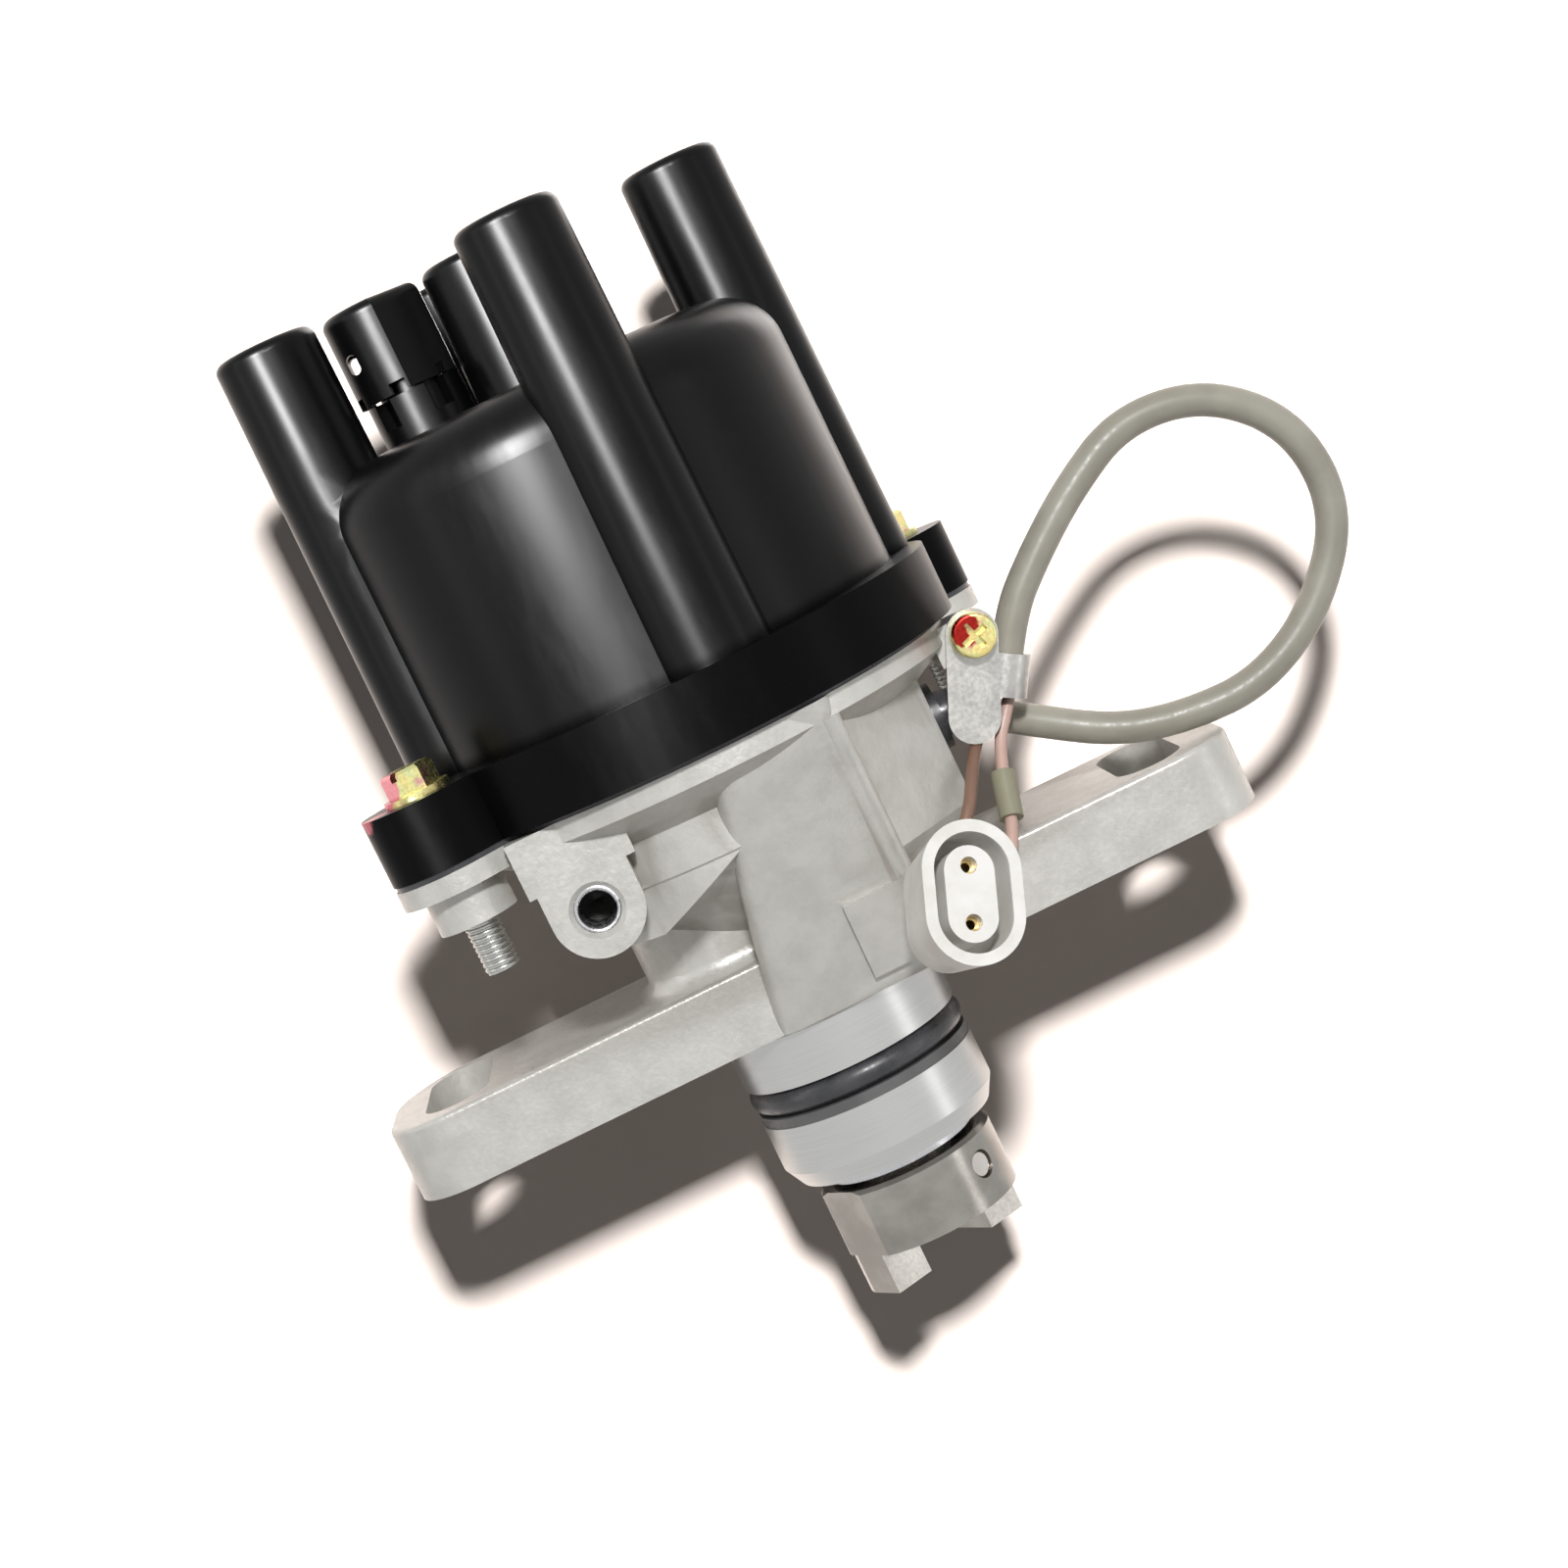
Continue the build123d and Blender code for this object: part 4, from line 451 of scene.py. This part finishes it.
ZINC_DABS = (
    ((0.0412, -0.0178, 0.0422), 0.0025, (0.3, 0.018, 0.014)),
    ((-0.0448, -0.0248, 0.0588), 0.0036, (0.68, 0.24, 0.28)),
)
FINISHES: dict[str, Finish] = {
    "cap_plastic": CapPlastic("cap_plastic", (0.0015, 0.0015, 0.0018), (0.006, 0.006, 0.0065), 0.28,
                              grain_scale=2600.0, grain_depth=0.000004, roughness_spread=0.07, specular=0.12),
    "cast_housing": CastAlloy("cast_housing", (0.58, 0.57, 0.54), (0.5, 0.49, 0.46), 0.34, metallic=0.3,
                              patch_scale=180.0, grain_depth=0.00009),
    "yellow_zinc": YellowZinc("yellow_zinc", (0.72, 0.6, 0.24), (0.6, 0.62, 0.3), 0.3, metallic=1.0,
                              grain_scale=2200.0, grain_depth=0.00001, dabs=ZINC_DABS),
    "machined_steel": TurnedSteel("machined_steel", (0.56, 0.56, 0.57), (0.48, 0.48, 0.49), 0.3,
                                  metallic=1.0),
    "bearing_steel": TurnedSteel("bearing_steel", (0.66, 0.66, 0.67), (0.6, 0.6, 0.61), 0.14, metallic=1.0,
                                 roughness_spread=0.04),
    "spring_steel": Finish("spring_steel", (0.42, 0.42, 0.43), (0.34, 0.34, 0.35), 0.32, metallic=1.0),
    "coupling_steel": TurnedSteel("coupling_steel", (0.34, 0.325, 0.3), (0.24, 0.225, 0.205), 0.22,
                                  metallic=1.0, patch_scale=90.0, grain_scale=1800.0, grain_depth=0.000006,
                                  roughness_spread=0.04),
    "pin_steel": Finish("pin_steel", (0.6, 0.57, 0.54), (0.5, 0.47, 0.44), 0.25, metallic=1.0),
    "clip_steel": Finish("clip_steel", (0.5, 0.49, 0.46), (0.38, 0.375, 0.36), 0.36, metallic=0.9,
                         patch_scale=220.0),
    "backup_ring_steel": Finish("backup_ring_steel", (0.09, 0.09, 0.09), (0.13, 0.13, 0.13), 0.4),
    "black_rubber": Finish("black_rubber", (0.022, 0.023, 0.026), (0.05, 0.05, 0.055), 0.34,
                           patch_scale=160.0, grain_scale=900.0),
    "terminal_metal": TurnedSteel("terminal_metal", (0.74, 0.56, 0.26), (0.6, 0.44, 0.2), 0.28, metallic=1.0),
    "bush_bronze": Finish("bush_bronze", (0.5, 0.34, 0.18), (0.38, 0.26, 0.14), 0.45, metallic=0.9,
                          grain_scale=2400.0),
    "carbon": Finish("carbon", (0.03, 0.03, 0.03), (0.06, 0.06, 0.06), 0.6),
    "cover_plastic": Finish("cover_plastic", (0.04, 0.04, 0.045), (0.07, 0.07, 0.075), 0.5),
    "rotor_plastic": Finish("rotor_plastic", (0.05, 0.042, 0.036), (0.08, 0.07, 0.06), 0.35),
    "cage_plastic": Finish("cage_plastic", (0.74, 0.69, 0.55), (0.66, 0.6, 0.48), 0.45),
    "coil_winding": Finish("coil_winding", (0.42, 0.15, 0.05), (0.3, 0.1, 0.03), 0.3, metallic=0.6,
                           grain_scale=3200.0, coat=0.6),
    "magnet_black": Finish("magnet_black", (0.09, 0.09, 0.095), (0.14, 0.14, 0.145), 0.55),
    "sleeve_vinyl": Vinyl("sleeve_vinyl", (0.28, 0.265, 0.22), (0.34, 0.325, 0.275), 0.42, patch_scale=90.0),
    "brown_insulation": Vinyl("brown_insulation", (0.17, 0.09, 0.06), (0.22, 0.13, 0.09), 0.4, scatter=0.1),
    "pink_insulation": Vinyl("pink_insulation", (0.5, 0.33, 0.28), (0.6, 0.44, 0.38), 0.4, scatter=0.1),
    "olive_sleeve": Vinyl("olive_sleeve", (0.24, 0.23, 0.16), (0.3, 0.29, 0.2), 0.45, scatter=0.1),
    "white_plastic": Finish("white_plastic", (0.8, 0.79, 0.76), (0.7, 0.68, 0.64), 0.38, patch_scale=150.0),
}


class Finisher:
    """Makes each finish once and lays it on nodes and pieces."""

    def __init__(self) -> None:
        """Starts with no material made."""
        self.made: dict[str, bpy.types.Material] = {}

    def get(self, slot: str) -> bpy.types.Material:
        """The material of a slot, made at its first use.

        Args:
            slot: one of the record's material slots.

        Returns:
            The material.
        """
        if slot not in self.made:
            self.made[slot] = FINISHES[slot].material()
        return self.made[slot]

    def dress(self, piece: bpy.types.Object, slot: str) -> None:
        """Gives an object one finish all over.

        Args:
            piece: the object to dress.
            slot: the record's material slot.
        """
        if not piece.data.materials:
            piece.data.materials.append(None)
        for number in range(len(piece.data.materials)):
            piece.data.materials[number] = self.get(slot)

    def dress_nodes(self) -> None:
        """Dresses every node that came with the model in its own slot's finish."""
        for part in frame["record"]["subparts"]:
            self.dress(frame["nodes"][part["node"]], part["material_slot"])
            log.info("dressed %s in %s", part["node"], part["material_slot"])


@dataclass
class Cord:
    """A round cord of fixed length that replaces one node."""

    name: str
    node: str
    slot: str
    radius: float
    length: float
    far_end: str
    stiffness: str
    route: list[Point]
    carried: list[str] = field(default_factory=list)
    section_steps: int = 6
    spline_order: int = 3
    spline_steps: int = 14

    def build(self, finisher: Finisher) -> None:
        """Args:
            finisher: the maker of finishes.
        """
        curve = bpy.data.curves.new(self.name, "CURVE")
        curve.dimensions = "3D"
        curve.bevel_depth = self.radius
        curve.bevel_resolution = self.section_steps
        curve.use_fill_caps = True
        line = curve.splines.new("NURBS")
        line.points.add(len(self.route) - 1)
        for knot, place in zip(line.points, self.route):
            knot.co = (*(MM * value for value in place), 1.0)
        line.order_u = self.spline_order
        line.use_endpoint_u = True
        line.resolution_u = self.spline_steps
        piece = bpy.data.objects.new(self.name, curve)
        bpy.context.scene.collection.objects.link(piece)
        finisher.dress(piece, self.slot)
        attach(piece, Body.HOUSING.value)
        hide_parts(self.node)
        log.info("laid %s, %.0f mm long", self.name, self.length / MM)


@dataclass
class Lead:
    """The pick-up's lead: one loop of sleeve, then two wires to the connector. Routes are in millimetres."""

    sleeve_radius: float = 0.0025
    wire_radius: float = 0.00095
    sleeve_length: float = 0.156
    brown_length: float = 0.042
    pink_length: float = 0.052
    sleeve_route: list[Point] = field(default_factory=lambda: [
        (37.815, -3.0, 29.734),
        (47.645, -3.0, 22.851),
        (57.0, -5.2, 17.2),
        (67.0, -7.0, 14.9),
        (79.0, -8.0, 14.8),
        (91.0, -8.0, 21.0),
        (100.5, -8.0, 33.0),
        (99.5, -8.0, 47.5),
        (89.5, -8.5, 57.5),
        (76.0, -9.0, 59.5),
        (64.5, -9.6, 53.5),
        (54.8, -10.2, 46.2),
        (48.778, -10.4, 40.502),
        (44.4, -10.4, 33.1),
    ])
    brown_route: list[Point] = field(default_factory=lambda: [
        (43.496, -10.4, 33.634),
        (41.358, -10.4, 30.019),
        (36.8, -10.8, 26.6),
        (33.6, -15.8, 23.2),
        (30.0, -20.6, 18.0),
        (24.5, -22.0, 14.0),
        (20.109, -26.537, 11.527),
        (21.592, -31.699, 12.708),
    ])
    pink_route: list[Point] = field(default_factory=lambda: [
        (45.304, -10.4, 32.566),
        (43.166, -10.4, 28.95),
        (38.6, -12.2, 24.0),
        (34.4, -20.5, 10.5),
        (28.0, -23.4, 7.6),
        (22.0, -24.6, 5.4),
        (17.236, -28.976, 4.47),
        (18.719, -34.139, 5.651),
    ])

    def build(self, finisher: Finisher) -> None:
        """Lays the sleeve and both wires.

        Args:
            finisher: the maker of finishes.
        """
        Cord("pickup_sleeve", "lead_sleeve", "sleeve_vinyl", self.sleeve_radius, self.sleeve_length, "object",
             "medium", self.sleeve_route).build(finisher)
        Cord("first_wire", "brown_wire", "brown_insulation", self.wire_radius, self.brown_length, "connector",
             "limp", self.brown_route, ["connector_shell", "connector_terminals"]).build(finisher)
        Cord("second_wire", "pink_wire", "pink_insulation", self.wire_radius, self.pink_length, "connector",
             "limp", self.pink_route, ["wire_splice"]).build(finisher)


class ThreadKit:
    """A node group that winds one thread: a spiral with a round section, realized as a plain mesh."""

    section_sides: int = 6

    def __init__(self) -> None:
        """Builds the group with its named inputs."""
        group = bpy.data.node_groups.new("wound_thread", "GeometryNodeTree")
        face = group.interface
        for name, kind in (
            ("Radius", "NodeSocketFloat"),
            ("Pitch", "NodeSocketFloat"),
            ("Turns", "NodeSocketFloat"),
            ("Section", "NodeSocketFloat"),
            ("Steps", "NodeSocketInt"),
            ("Material", "NodeSocketMaterial"),
        ):
            face.new_socket(name, in_out="INPUT", socket_type=kind)
        face.new_socket("Geometry", in_out="OUTPUT", socket_type="NodeSocketGeometry")
        nodes, links = group.nodes, group.links
        given = nodes.new("NodeGroupInput")
        result = nodes.new("NodeGroupOutput")
        rise = nodes.new("ShaderNodeMath")
        rise.operation = "MULTIPLY"
        spiral = nodes.new("GeometryNodeCurveSpiral")
        section = nodes.new("GeometryNodeCurvePrimitiveCircle")
        section.inputs["Resolution"].default_value = self.section_sides
        tube = nodes.new("GeometryNodeCurveToMesh")
        tube.inputs["Fill Caps"].default_value = True
        smooth = nodes.new("GeometryNodeSetShadeSmooth")
        real = nodes.new("GeometryNodeRealizeInstances")
        coat = nodes.new("GeometryNodeSetMaterial")
        links.new(given.outputs["Pitch"], rise.inputs[0])
        links.new(given.outputs["Turns"], rise.inputs[1])
        links.new(given.outputs["Steps"], spiral.inputs["Resolution"])
        links.new(given.outputs["Turns"], spiral.inputs["Rotations"])
        links.new(given.outputs["Radius"], spiral.inputs["Start Radius"])
        links.new(given.outputs["Radius"], spiral.inputs["End Radius"])
        links.new(rise.outputs["Value"], spiral.inputs["Height"])
        links.new(given.outputs["Section"], section.inputs["Radius"])
        links.new(spiral.outputs["Curve"], tube.inputs["Curve"])
        links.new(section.outputs["Curve"], tube.inputs["Profile Curve"])
        links.new(tube.outputs["Mesh"], smooth.inputs["Geometry"])
        links.new(smooth.outputs["Geometry"], real.inputs["Geometry"])
        links.new(real.outputs["Geometry"], coat.inputs["Geometry"])
        links.new(given.outputs["Material"], coat.inputs["Material"])
        links.new(coat.outputs["Geometry"], result.inputs["Geometry"])
        self.group = group

    def wind(
        self, name: str, place: Point, turn: Matrix, sizes: dict[str, float], material: bpy.types.Material
    ) -> bpy.types.Object:
        """Winds one thread and bakes it to a plain mesh.

        Args:
            name: the piece's name.
            place: the start of the thread's axis, in metres.
            turn: the rotation that carries +Z to the axis.
            sizes: values of the group's inputs by name.
            material: the thread's material.

        Returns:
            The piece, untransformed.
        """
        holder = bpy.data.objects.new(f"{name}_source", bpy.data.meshes.new(f"{name}_source"))
        bpy.context.scene.collection.objects.link(holder)
        modifier = holder.modifiers.new("thread", "NODES")
        modifier.node_group = self.group
        items = self.group.interface.items_tree
        keys = {item.name: item.identifier for item in items if item.in_out == "INPUT"}
        for key, value in sizes.items():
            modifier[keys[key]] = value
        modifier[keys["Material"]] = material
        shown = holder.evaluated_get(bpy.context.evaluated_depsgraph_get())
        mesh = bpy.data.meshes.new_from_object(shown)
        mesh.transform(Matrix.Translation(place) @ turn)
        bpy.data.objects.remove(holder)
        piece = bpy.data.objects.new(name, mesh)
        bpy.context.scene.collection.objects.link(piece)
        return piece


@dataclass
class BrushSpring:
    """The brush's spring, which shortens between the brush and the cap as the brush moves."""

    wire_radius: float = 0.0003
    turns: float = 5.0
    steps: int = 28

    def build(self, finisher: Finisher, kit: ThreadKit) -> None:
        """Winds the spring in the place of the model's node.

        Args:
            finisher: the maker of finishes.
            kit: the winder.
        """
        spots = [spot.co for spot in frame["nodes"]["brush_spring"].data.vertices]
        radius = max(spot.x for spot in spots) - self.wire_radius
        base = min(spot.z for spot in spots) + self.wire_radius
        top = max(spot.z for spot in spots) - self.wire_radius
        piece = kit.wind(
            "wound_brush_spring",
            (0.0, 0.0, base),
            Matrix.Identity(4),
            {"Radius": radius, "Pitch": (top - base) / self.turns, "Turns": self.turns,
             "Section": self.wire_radius, "Steps": self.steps},
            finisher.get("spring_steel"),
        )
        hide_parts("brush_spring")
        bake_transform(piece)
        log.info("wound the brush's spring, %.1f mm long", (top - base) / MM)


@dataclass
class Threads:
    """The threads that show: both cap screws' tails and the tapped hole in the lug."""

    tail_radius: float = 0.00232
    tail_pitch: float = 0.0008
    tail_turns: float = 9.5
    tail_section: float = 0.00033
    tail_start: float = 0.0283
    tails: tuple[tuple[float, float], ...] = ((-0.040, -0.023), (0.040, 0.023))
    hole_radius: float = 0.0032
    hole_pitch: float = 0.00125
    hole_turns: float = 7.0
    hole_section: float = 0.0005
    hole_start: Point = (-0.0238, -0.0312, 0.0308)
    steps: int = 28

    def build(self, finisher: Finisher, kit: ThreadKit) -> None:
        """Winds every thread.

        Args:
            finisher: the maker of finishes.
            kit: the winder.
        """
        for number, (x, y) in enumerate(self.tails):
            piece = kit.wind(
                f"tail_thread_{number + 1}",
                (x, y, self.tail_start),
                Matrix.Identity(4),
                {"Radius": self.tail_radius, "Pitch": self.tail_pitch, "Turns": self.tail_turns,
                 "Section": self.tail_section, "Steps": self.steps},
                finisher.get("yellow_zinc"),
            )
            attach(piece, Body.HOUSING.value)
        piece = kit.wind(
            "hole_thread",
            self.hole_start,
            Matrix.Rotation(math.radians(-90), 4, "X"),
            {"Radius": self.hole_radius, "Pitch": self.hole_pitch, "Turns": self.hole_turns,
             "Section": self.hole_section, "Steps": self.steps},
            finisher.get("machined_steel"),
        )
        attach(piece, Body.HOUSING.value)
        log.info("wound %d threads", len(self.tails) + 1)


@dataclass
class Studio:
    """The pale sheet that the object lies on, soft lights and the camera at the photograph's place."""

    sheet_reach: float = 1.6
    sheet_gap: float = 0.0005
    sheet_colour: Colour = (0.46, 0.41, 0.38)
    glow_start: float = 0.16
    glow_end: float = 0.36
    slant_start: float = 0.25
    slant_end: float = 0.6
    world_fill: float = 0.15
    aim: Point = (0.0, 0.0, 0.045)
    over: Point = (0.09, -0.66, 0.36)
    over_size: tuple[float, float] = (0.07, 0.07)
    left_place: Point = (-0.66, -0.24, 0.3)
    right_place: Point = (0.6, -0.34, -0.1)
    strip_size: tuple[float, float] = (0.12, 0.6)
    window_place: Point = (-0.23, -0.64, 0.3)
    back_window_place: Point = (0.3, 0.62, 0.26)
    window_size: tuple[float, float] = (0.16, 0.36)
    key_power: float = 5.0
    sheet_power: float = 17.5
    left_power: float = 0.5
    right_power: float = 0.4
    window_power: float = 34.0
    back_window_power: float = 12.0
    photo_size: float = 1600.0
    focal_pixels: float = 3000.0
    sensor: float = 36.0
    distance: float = 0.4455
    elevation: float = 7.0
    roll: float = 25.9
    sight_height: float = 0.0313
    sight_right: float = 48.6
    sight_up: float = 24.7
    clip_start: float = 0.02
    clip_end: float = 20.0

    def axes(self) -> tuple[Vector, Vector, Vector]:
        """The picture's right and up, and the way from the object to the camera."""
        tilt = math.radians(self.elevation)
        lean = math.radians(self.roll)
        back = Vector((0.0, -math.cos(tilt), math.sin(tilt)))
        level_up = Vector((0.0, math.sin(tilt), math.cos(tilt)))
        level_right = Vector((1.0, 0.0, 0.0))
        right = level_right * math.cos(lean) - level_up * math.sin(lean)
        up = level_up * math.cos(lean) + level_right * math.sin(lean)
        return right, up, back

    def sheet(self) -> bpy.types.Object:
        """Lays the pale sheet against the object's back, square to the line of sight.

        Returns:
            The sheet.
        """
        right, up, back = self.axes()
        places = (spot.co for node in frame["nodes"].values() for spot in node.data.vertices)
        depth = min(place.dot(back) for place in places) - self.sheet_gap
        middle = back * depth
        reach = self.sheet_reach
        signs = ((-1, -1), (1, -1), (1, 1), (-1, 1))
        corners = [middle + right * x * reach + up * y * reach for x, y in signs]
        mesh = bpy.data.meshes.new("studio_floor")
        mesh.from_pydata(corners, [], [(0, 1, 2, 3)])
        mesh.materials.append(self.sheet_material())
        piece = bpy.data.objects.new("studio_floor", mesh)
        bpy.context.scene.collection.objects.link(piece)
        return piece

    def sheet_material(self) -> bpy.types.Material:
        """Matt and pale with the shadow on it, plain white far off or aslant, and clear from behind.

        Returns:
            The material.
        """
        material = bpy.data.materials.new("studio_floor")
        material.use_nodes = True
        tree = material.node_tree
        matt = tree.nodes["Principled BSDF"]
        matt.inputs["Base Color"].default_value = (*self.sheet_colour, 1.0)
        matt.inputs["Roughness"].default_value = 1.0
        matt.inputs["Specular IOR Level"].default_value = 0.0
        glow = tree.nodes.new("ShaderNodeEmission")
        rays = tree.nodes.new("ShaderNodeLightPath")
        share = tree.nodes.new("ShaderNodeMath")
        share.operation = "MULTIPLY"
        tree.links.new(self.background_rays(tree, rays), share.inputs[0])
        tree.links.new(self.distance_glow(tree), share.inputs[1])
        shown = tree.nodes.new("ShaderNodeMixShader")
        tree.links.new(share.outputs["Value"], shown.inputs["Fac"])
        tree.links.new(matt.outputs["BSDF"], shown.inputs[1])
        tree.links.new(glow.outputs["Emission"], shown.inputs[2])
        clear = tree.nodes.new("ShaderNodeBsdfTransparent")
        side = tree.nodes.new("ShaderNodeNewGeometry")
        sided = tree.nodes.new("ShaderNodeMixShader")
        passing = tree.nodes.new("ShaderNodeMath")
        passing.operation = "MAXIMUM"
        tree.links.new(side.outputs["Backfacing"], passing.inputs[0])
        tree.links.new(rays.outputs["Is Shadow Ray"], passing.inputs[1])
        tree.links.new(passing.outputs["Value"], sided.inputs["Fac"])
        tree.links.new(shown.outputs["Shader"], sided.inputs[1])
        tree.links.new(clear.outputs["BSDF"], sided.inputs[2])
        tree.links.new(sided.outputs["Shader"], tree.nodes["Material Output"].inputs["Surface"])
        return material

    def distance_glow(self, tree: bpy.types.NodeTree) -> bpy.types.NodeSocket:
        """How much of the sheet's own white shows: more far from the object and where it is seen aslant.

        Args:
            tree: the node tree to add to.

        Returns:
            The share, from 0 near the object to 1.
        """
        place = tree.nodes.new("ShaderNodeTexCoord")
        reach = tree.nodes.new("ShaderNodeVectorMath")
        reach.operation = "LENGTH"
        tree.links.new(place.outputs["Object"], reach.inputs[0])
        level = tree.nodes.new("ShaderNodeMapRange")
        level.interpolation_type = "SMOOTHSTEP"
        tree.links.new(reach.outputs["Value"], level.inputs["Value"])
        level.inputs["From Min"].default_value = self.glow_start
        level.inputs["From Max"].default_value = self.glow_end
        slant = tree.nodes.new("ShaderNodeLayerWeight")
        edge = tree.nodes.new("ShaderNodeMapRange")
        edge.interpolation_type = "SMOOTHSTEP"
        tree.links.new(slant.outputs["Facing"], edge.inputs["Value"])
        edge.inputs["From Min"].default_value = self.slant_start
        edge.inputs["From Max"].default_value = self.slant_end
        both = tree.nodes.new("ShaderNodeMath")
        both.operation = "MAXIMUM"
        tree.links.new(level.outputs["Result"], both.inputs[0])
        tree.links.new(edge.outputs["Result"], both.inputs[1])
        return both.outputs["Value"]

    def background_rays(self, tree: bpy.types.NodeTree, rays: bpy.types.Node) -> bpy.types.NodeSocket:
        """1 for rays that show the background: from the camera, a reflection or glass.

        Args:
            tree: the node tree to add to.
            rays: its Light Path node.

        Returns:
            The sum's value, held at 1.
        """
        first = tree.nodes.new("ShaderNodeMath")
        first.operation = "ADD"
        second = tree.nodes.new("ShaderNodeMath")
        second.operation = "ADD"
        second.use_clamp = True
        tree.links.new(rays.outputs["Is Camera Ray"], first.inputs[0])
        tree.links.new(rays.outputs["Is Glossy Ray"], first.inputs[1])
        tree.links.new(first.outputs["Value"], second.inputs[0])
        tree.links.new(rays.outputs["Is Transmission Ray"], second.inputs[1])
        return second.outputs["Value"]

    def world(self) -> None:
        """A white surround that lights the object softly."""
        world = bpy.data.worlds.new("studio")
        bpy.context.scene.world = world
        world.use_nodes = True
        tree = world.node_tree
        background = tree.nodes["Background"]
        background.inputs["Color"].default_value = (1.0, 1.0, 1.0, 1.0)
        rays = tree.nodes.new("ShaderNodeLightPath")
        level = tree.nodes.new("ShaderNodeMapRange")
        tree.links.new(self.background_rays(tree, rays), level.inputs["Value"])
        level.inputs["To Min"].default_value = self.world_fill
        level.inputs["To Max"].default_value = 1.0
        tree.links.new(level.outputs["Result"], background.inputs["Strength"])

    def lamp(self, name: str, place: Point, size: tuple[float, float], power: float) -> bpy.types.Object:
        """Hangs one rectangular soft light that faces the object.

        Args:
            name: the light's name.
            place: where it hangs.
            size: its width and height.
            power: its power in watts.

        Returns:
            The light's object.
        """
        light = bpy.data.lights.new(name, "AREA")
        light.shape = "RECTANGLE"
        light.size, light.size_y = size
        light.energy = power
        holder = bpy.data.objects.new(name, light)
        bpy.context.scene.collection.objects.link(holder)
        holder.location = place
        holder.rotation_euler = (Vector(self.aim) - Vector(place)).to_track_quat("-Z", "Y").to_euler()
        return holder

    def lights(self, sheet: bpy.types.Object) -> None:
        """Hangs the key over the camera, two strips, two windows for the cap's sheen and the sheet's lamp.

        Args:
            sheet: the sheet, which alone takes the light of its own lamp.
        """
        self.lamp("key", self.over, self.over_size, self.key_power)
        self.lamp("left_strip", self.left_place, self.strip_size, self.left_power)
        self.lamp("right_strip", self.right_place, self.strip_size, self.right_power)
        black = [frame["nodes"]["distributor_cap"], frame["nodes"]["vent_hood"]]
        for name, place, power in (
            ("window", self.window_place, self.window_power),
            ("back_window", self.back_window_place, self.back_window_power),
        ):
            window = self.lamp(name, place, self.window_size, power)
            window.visible_diffuse = False
            self.only_on(window, black)
        self.only_on(self.lamp("sheet_lamp", self.over, self.over_size, self.sheet_power), [sheet])

    def only_on(self, lamp: bpy.types.Object, pieces: list[bpy.types.Object]) -> None:
        """Keeps a lamp's light to a few pieces.

        Args:
            lamp: the lamp.
            pieces: what it lights.
        """
        receivers = bpy.data.collections.new(f"{lamp.name}_receivers")
        for piece in pieces:
            receivers.objects.link(piece)
        lamp.light_linking.receiver_collection = receivers

    def camera(self) -> None:
        """Sets the camera where the photograph was taken from."""
        target = Vector((0.0, 0.0, self.sight_height))
        right, up, back = self.axes()
        shift = right * (self.sight_right / self.focal_pixels) + up * (self.sight_up / self.focal_pixels)
        sight = -back + shift
        sight.normalize()
        right = sight.cross(up).normalized()
        up = right.cross(sight).normalized()
        turn = Matrix((right, up, -sight)).transposed()
        data = bpy.data.cameras.new("camera")
        data.sensor_width = self.sensor
        data.lens = self.focal_pixels / self.photo_size * self.sensor
        data.clip_start = self.clip_start
        data.clip_end = self.clip_end
        camera = bpy.data.objects.new("camera", data)
        bpy.context.scene.collection.objects.link(camera)
        camera.matrix_world = Matrix.Translation(target + back * self.distance) @ turn.to_4x4()
        bpy.context.scene.camera = camera

    def build(self) -> None:
        """Sets up the sheet, the lights, the world and the camera."""
        self.lights(self.sheet())
        self.world()
        self.camera()
        bpy.context.scene.view_settings.view_transform = "Standard"


def main() -> None:
    """Dresses the model, adds the pieces and sets up the studio."""
    logging.basicConfig(level=logging.INFO, format="%(name)s: %(message)s")
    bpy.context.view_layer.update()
    finisher = Finisher()
    finisher.dress_nodes()
    Lead().build(finisher)
    kit = ThreadKit()
    Threads().build(finisher, kit)
    BrushSpring().build(finisher, kit)
    Studio().build()


if __name__ == "__main__":
    main()
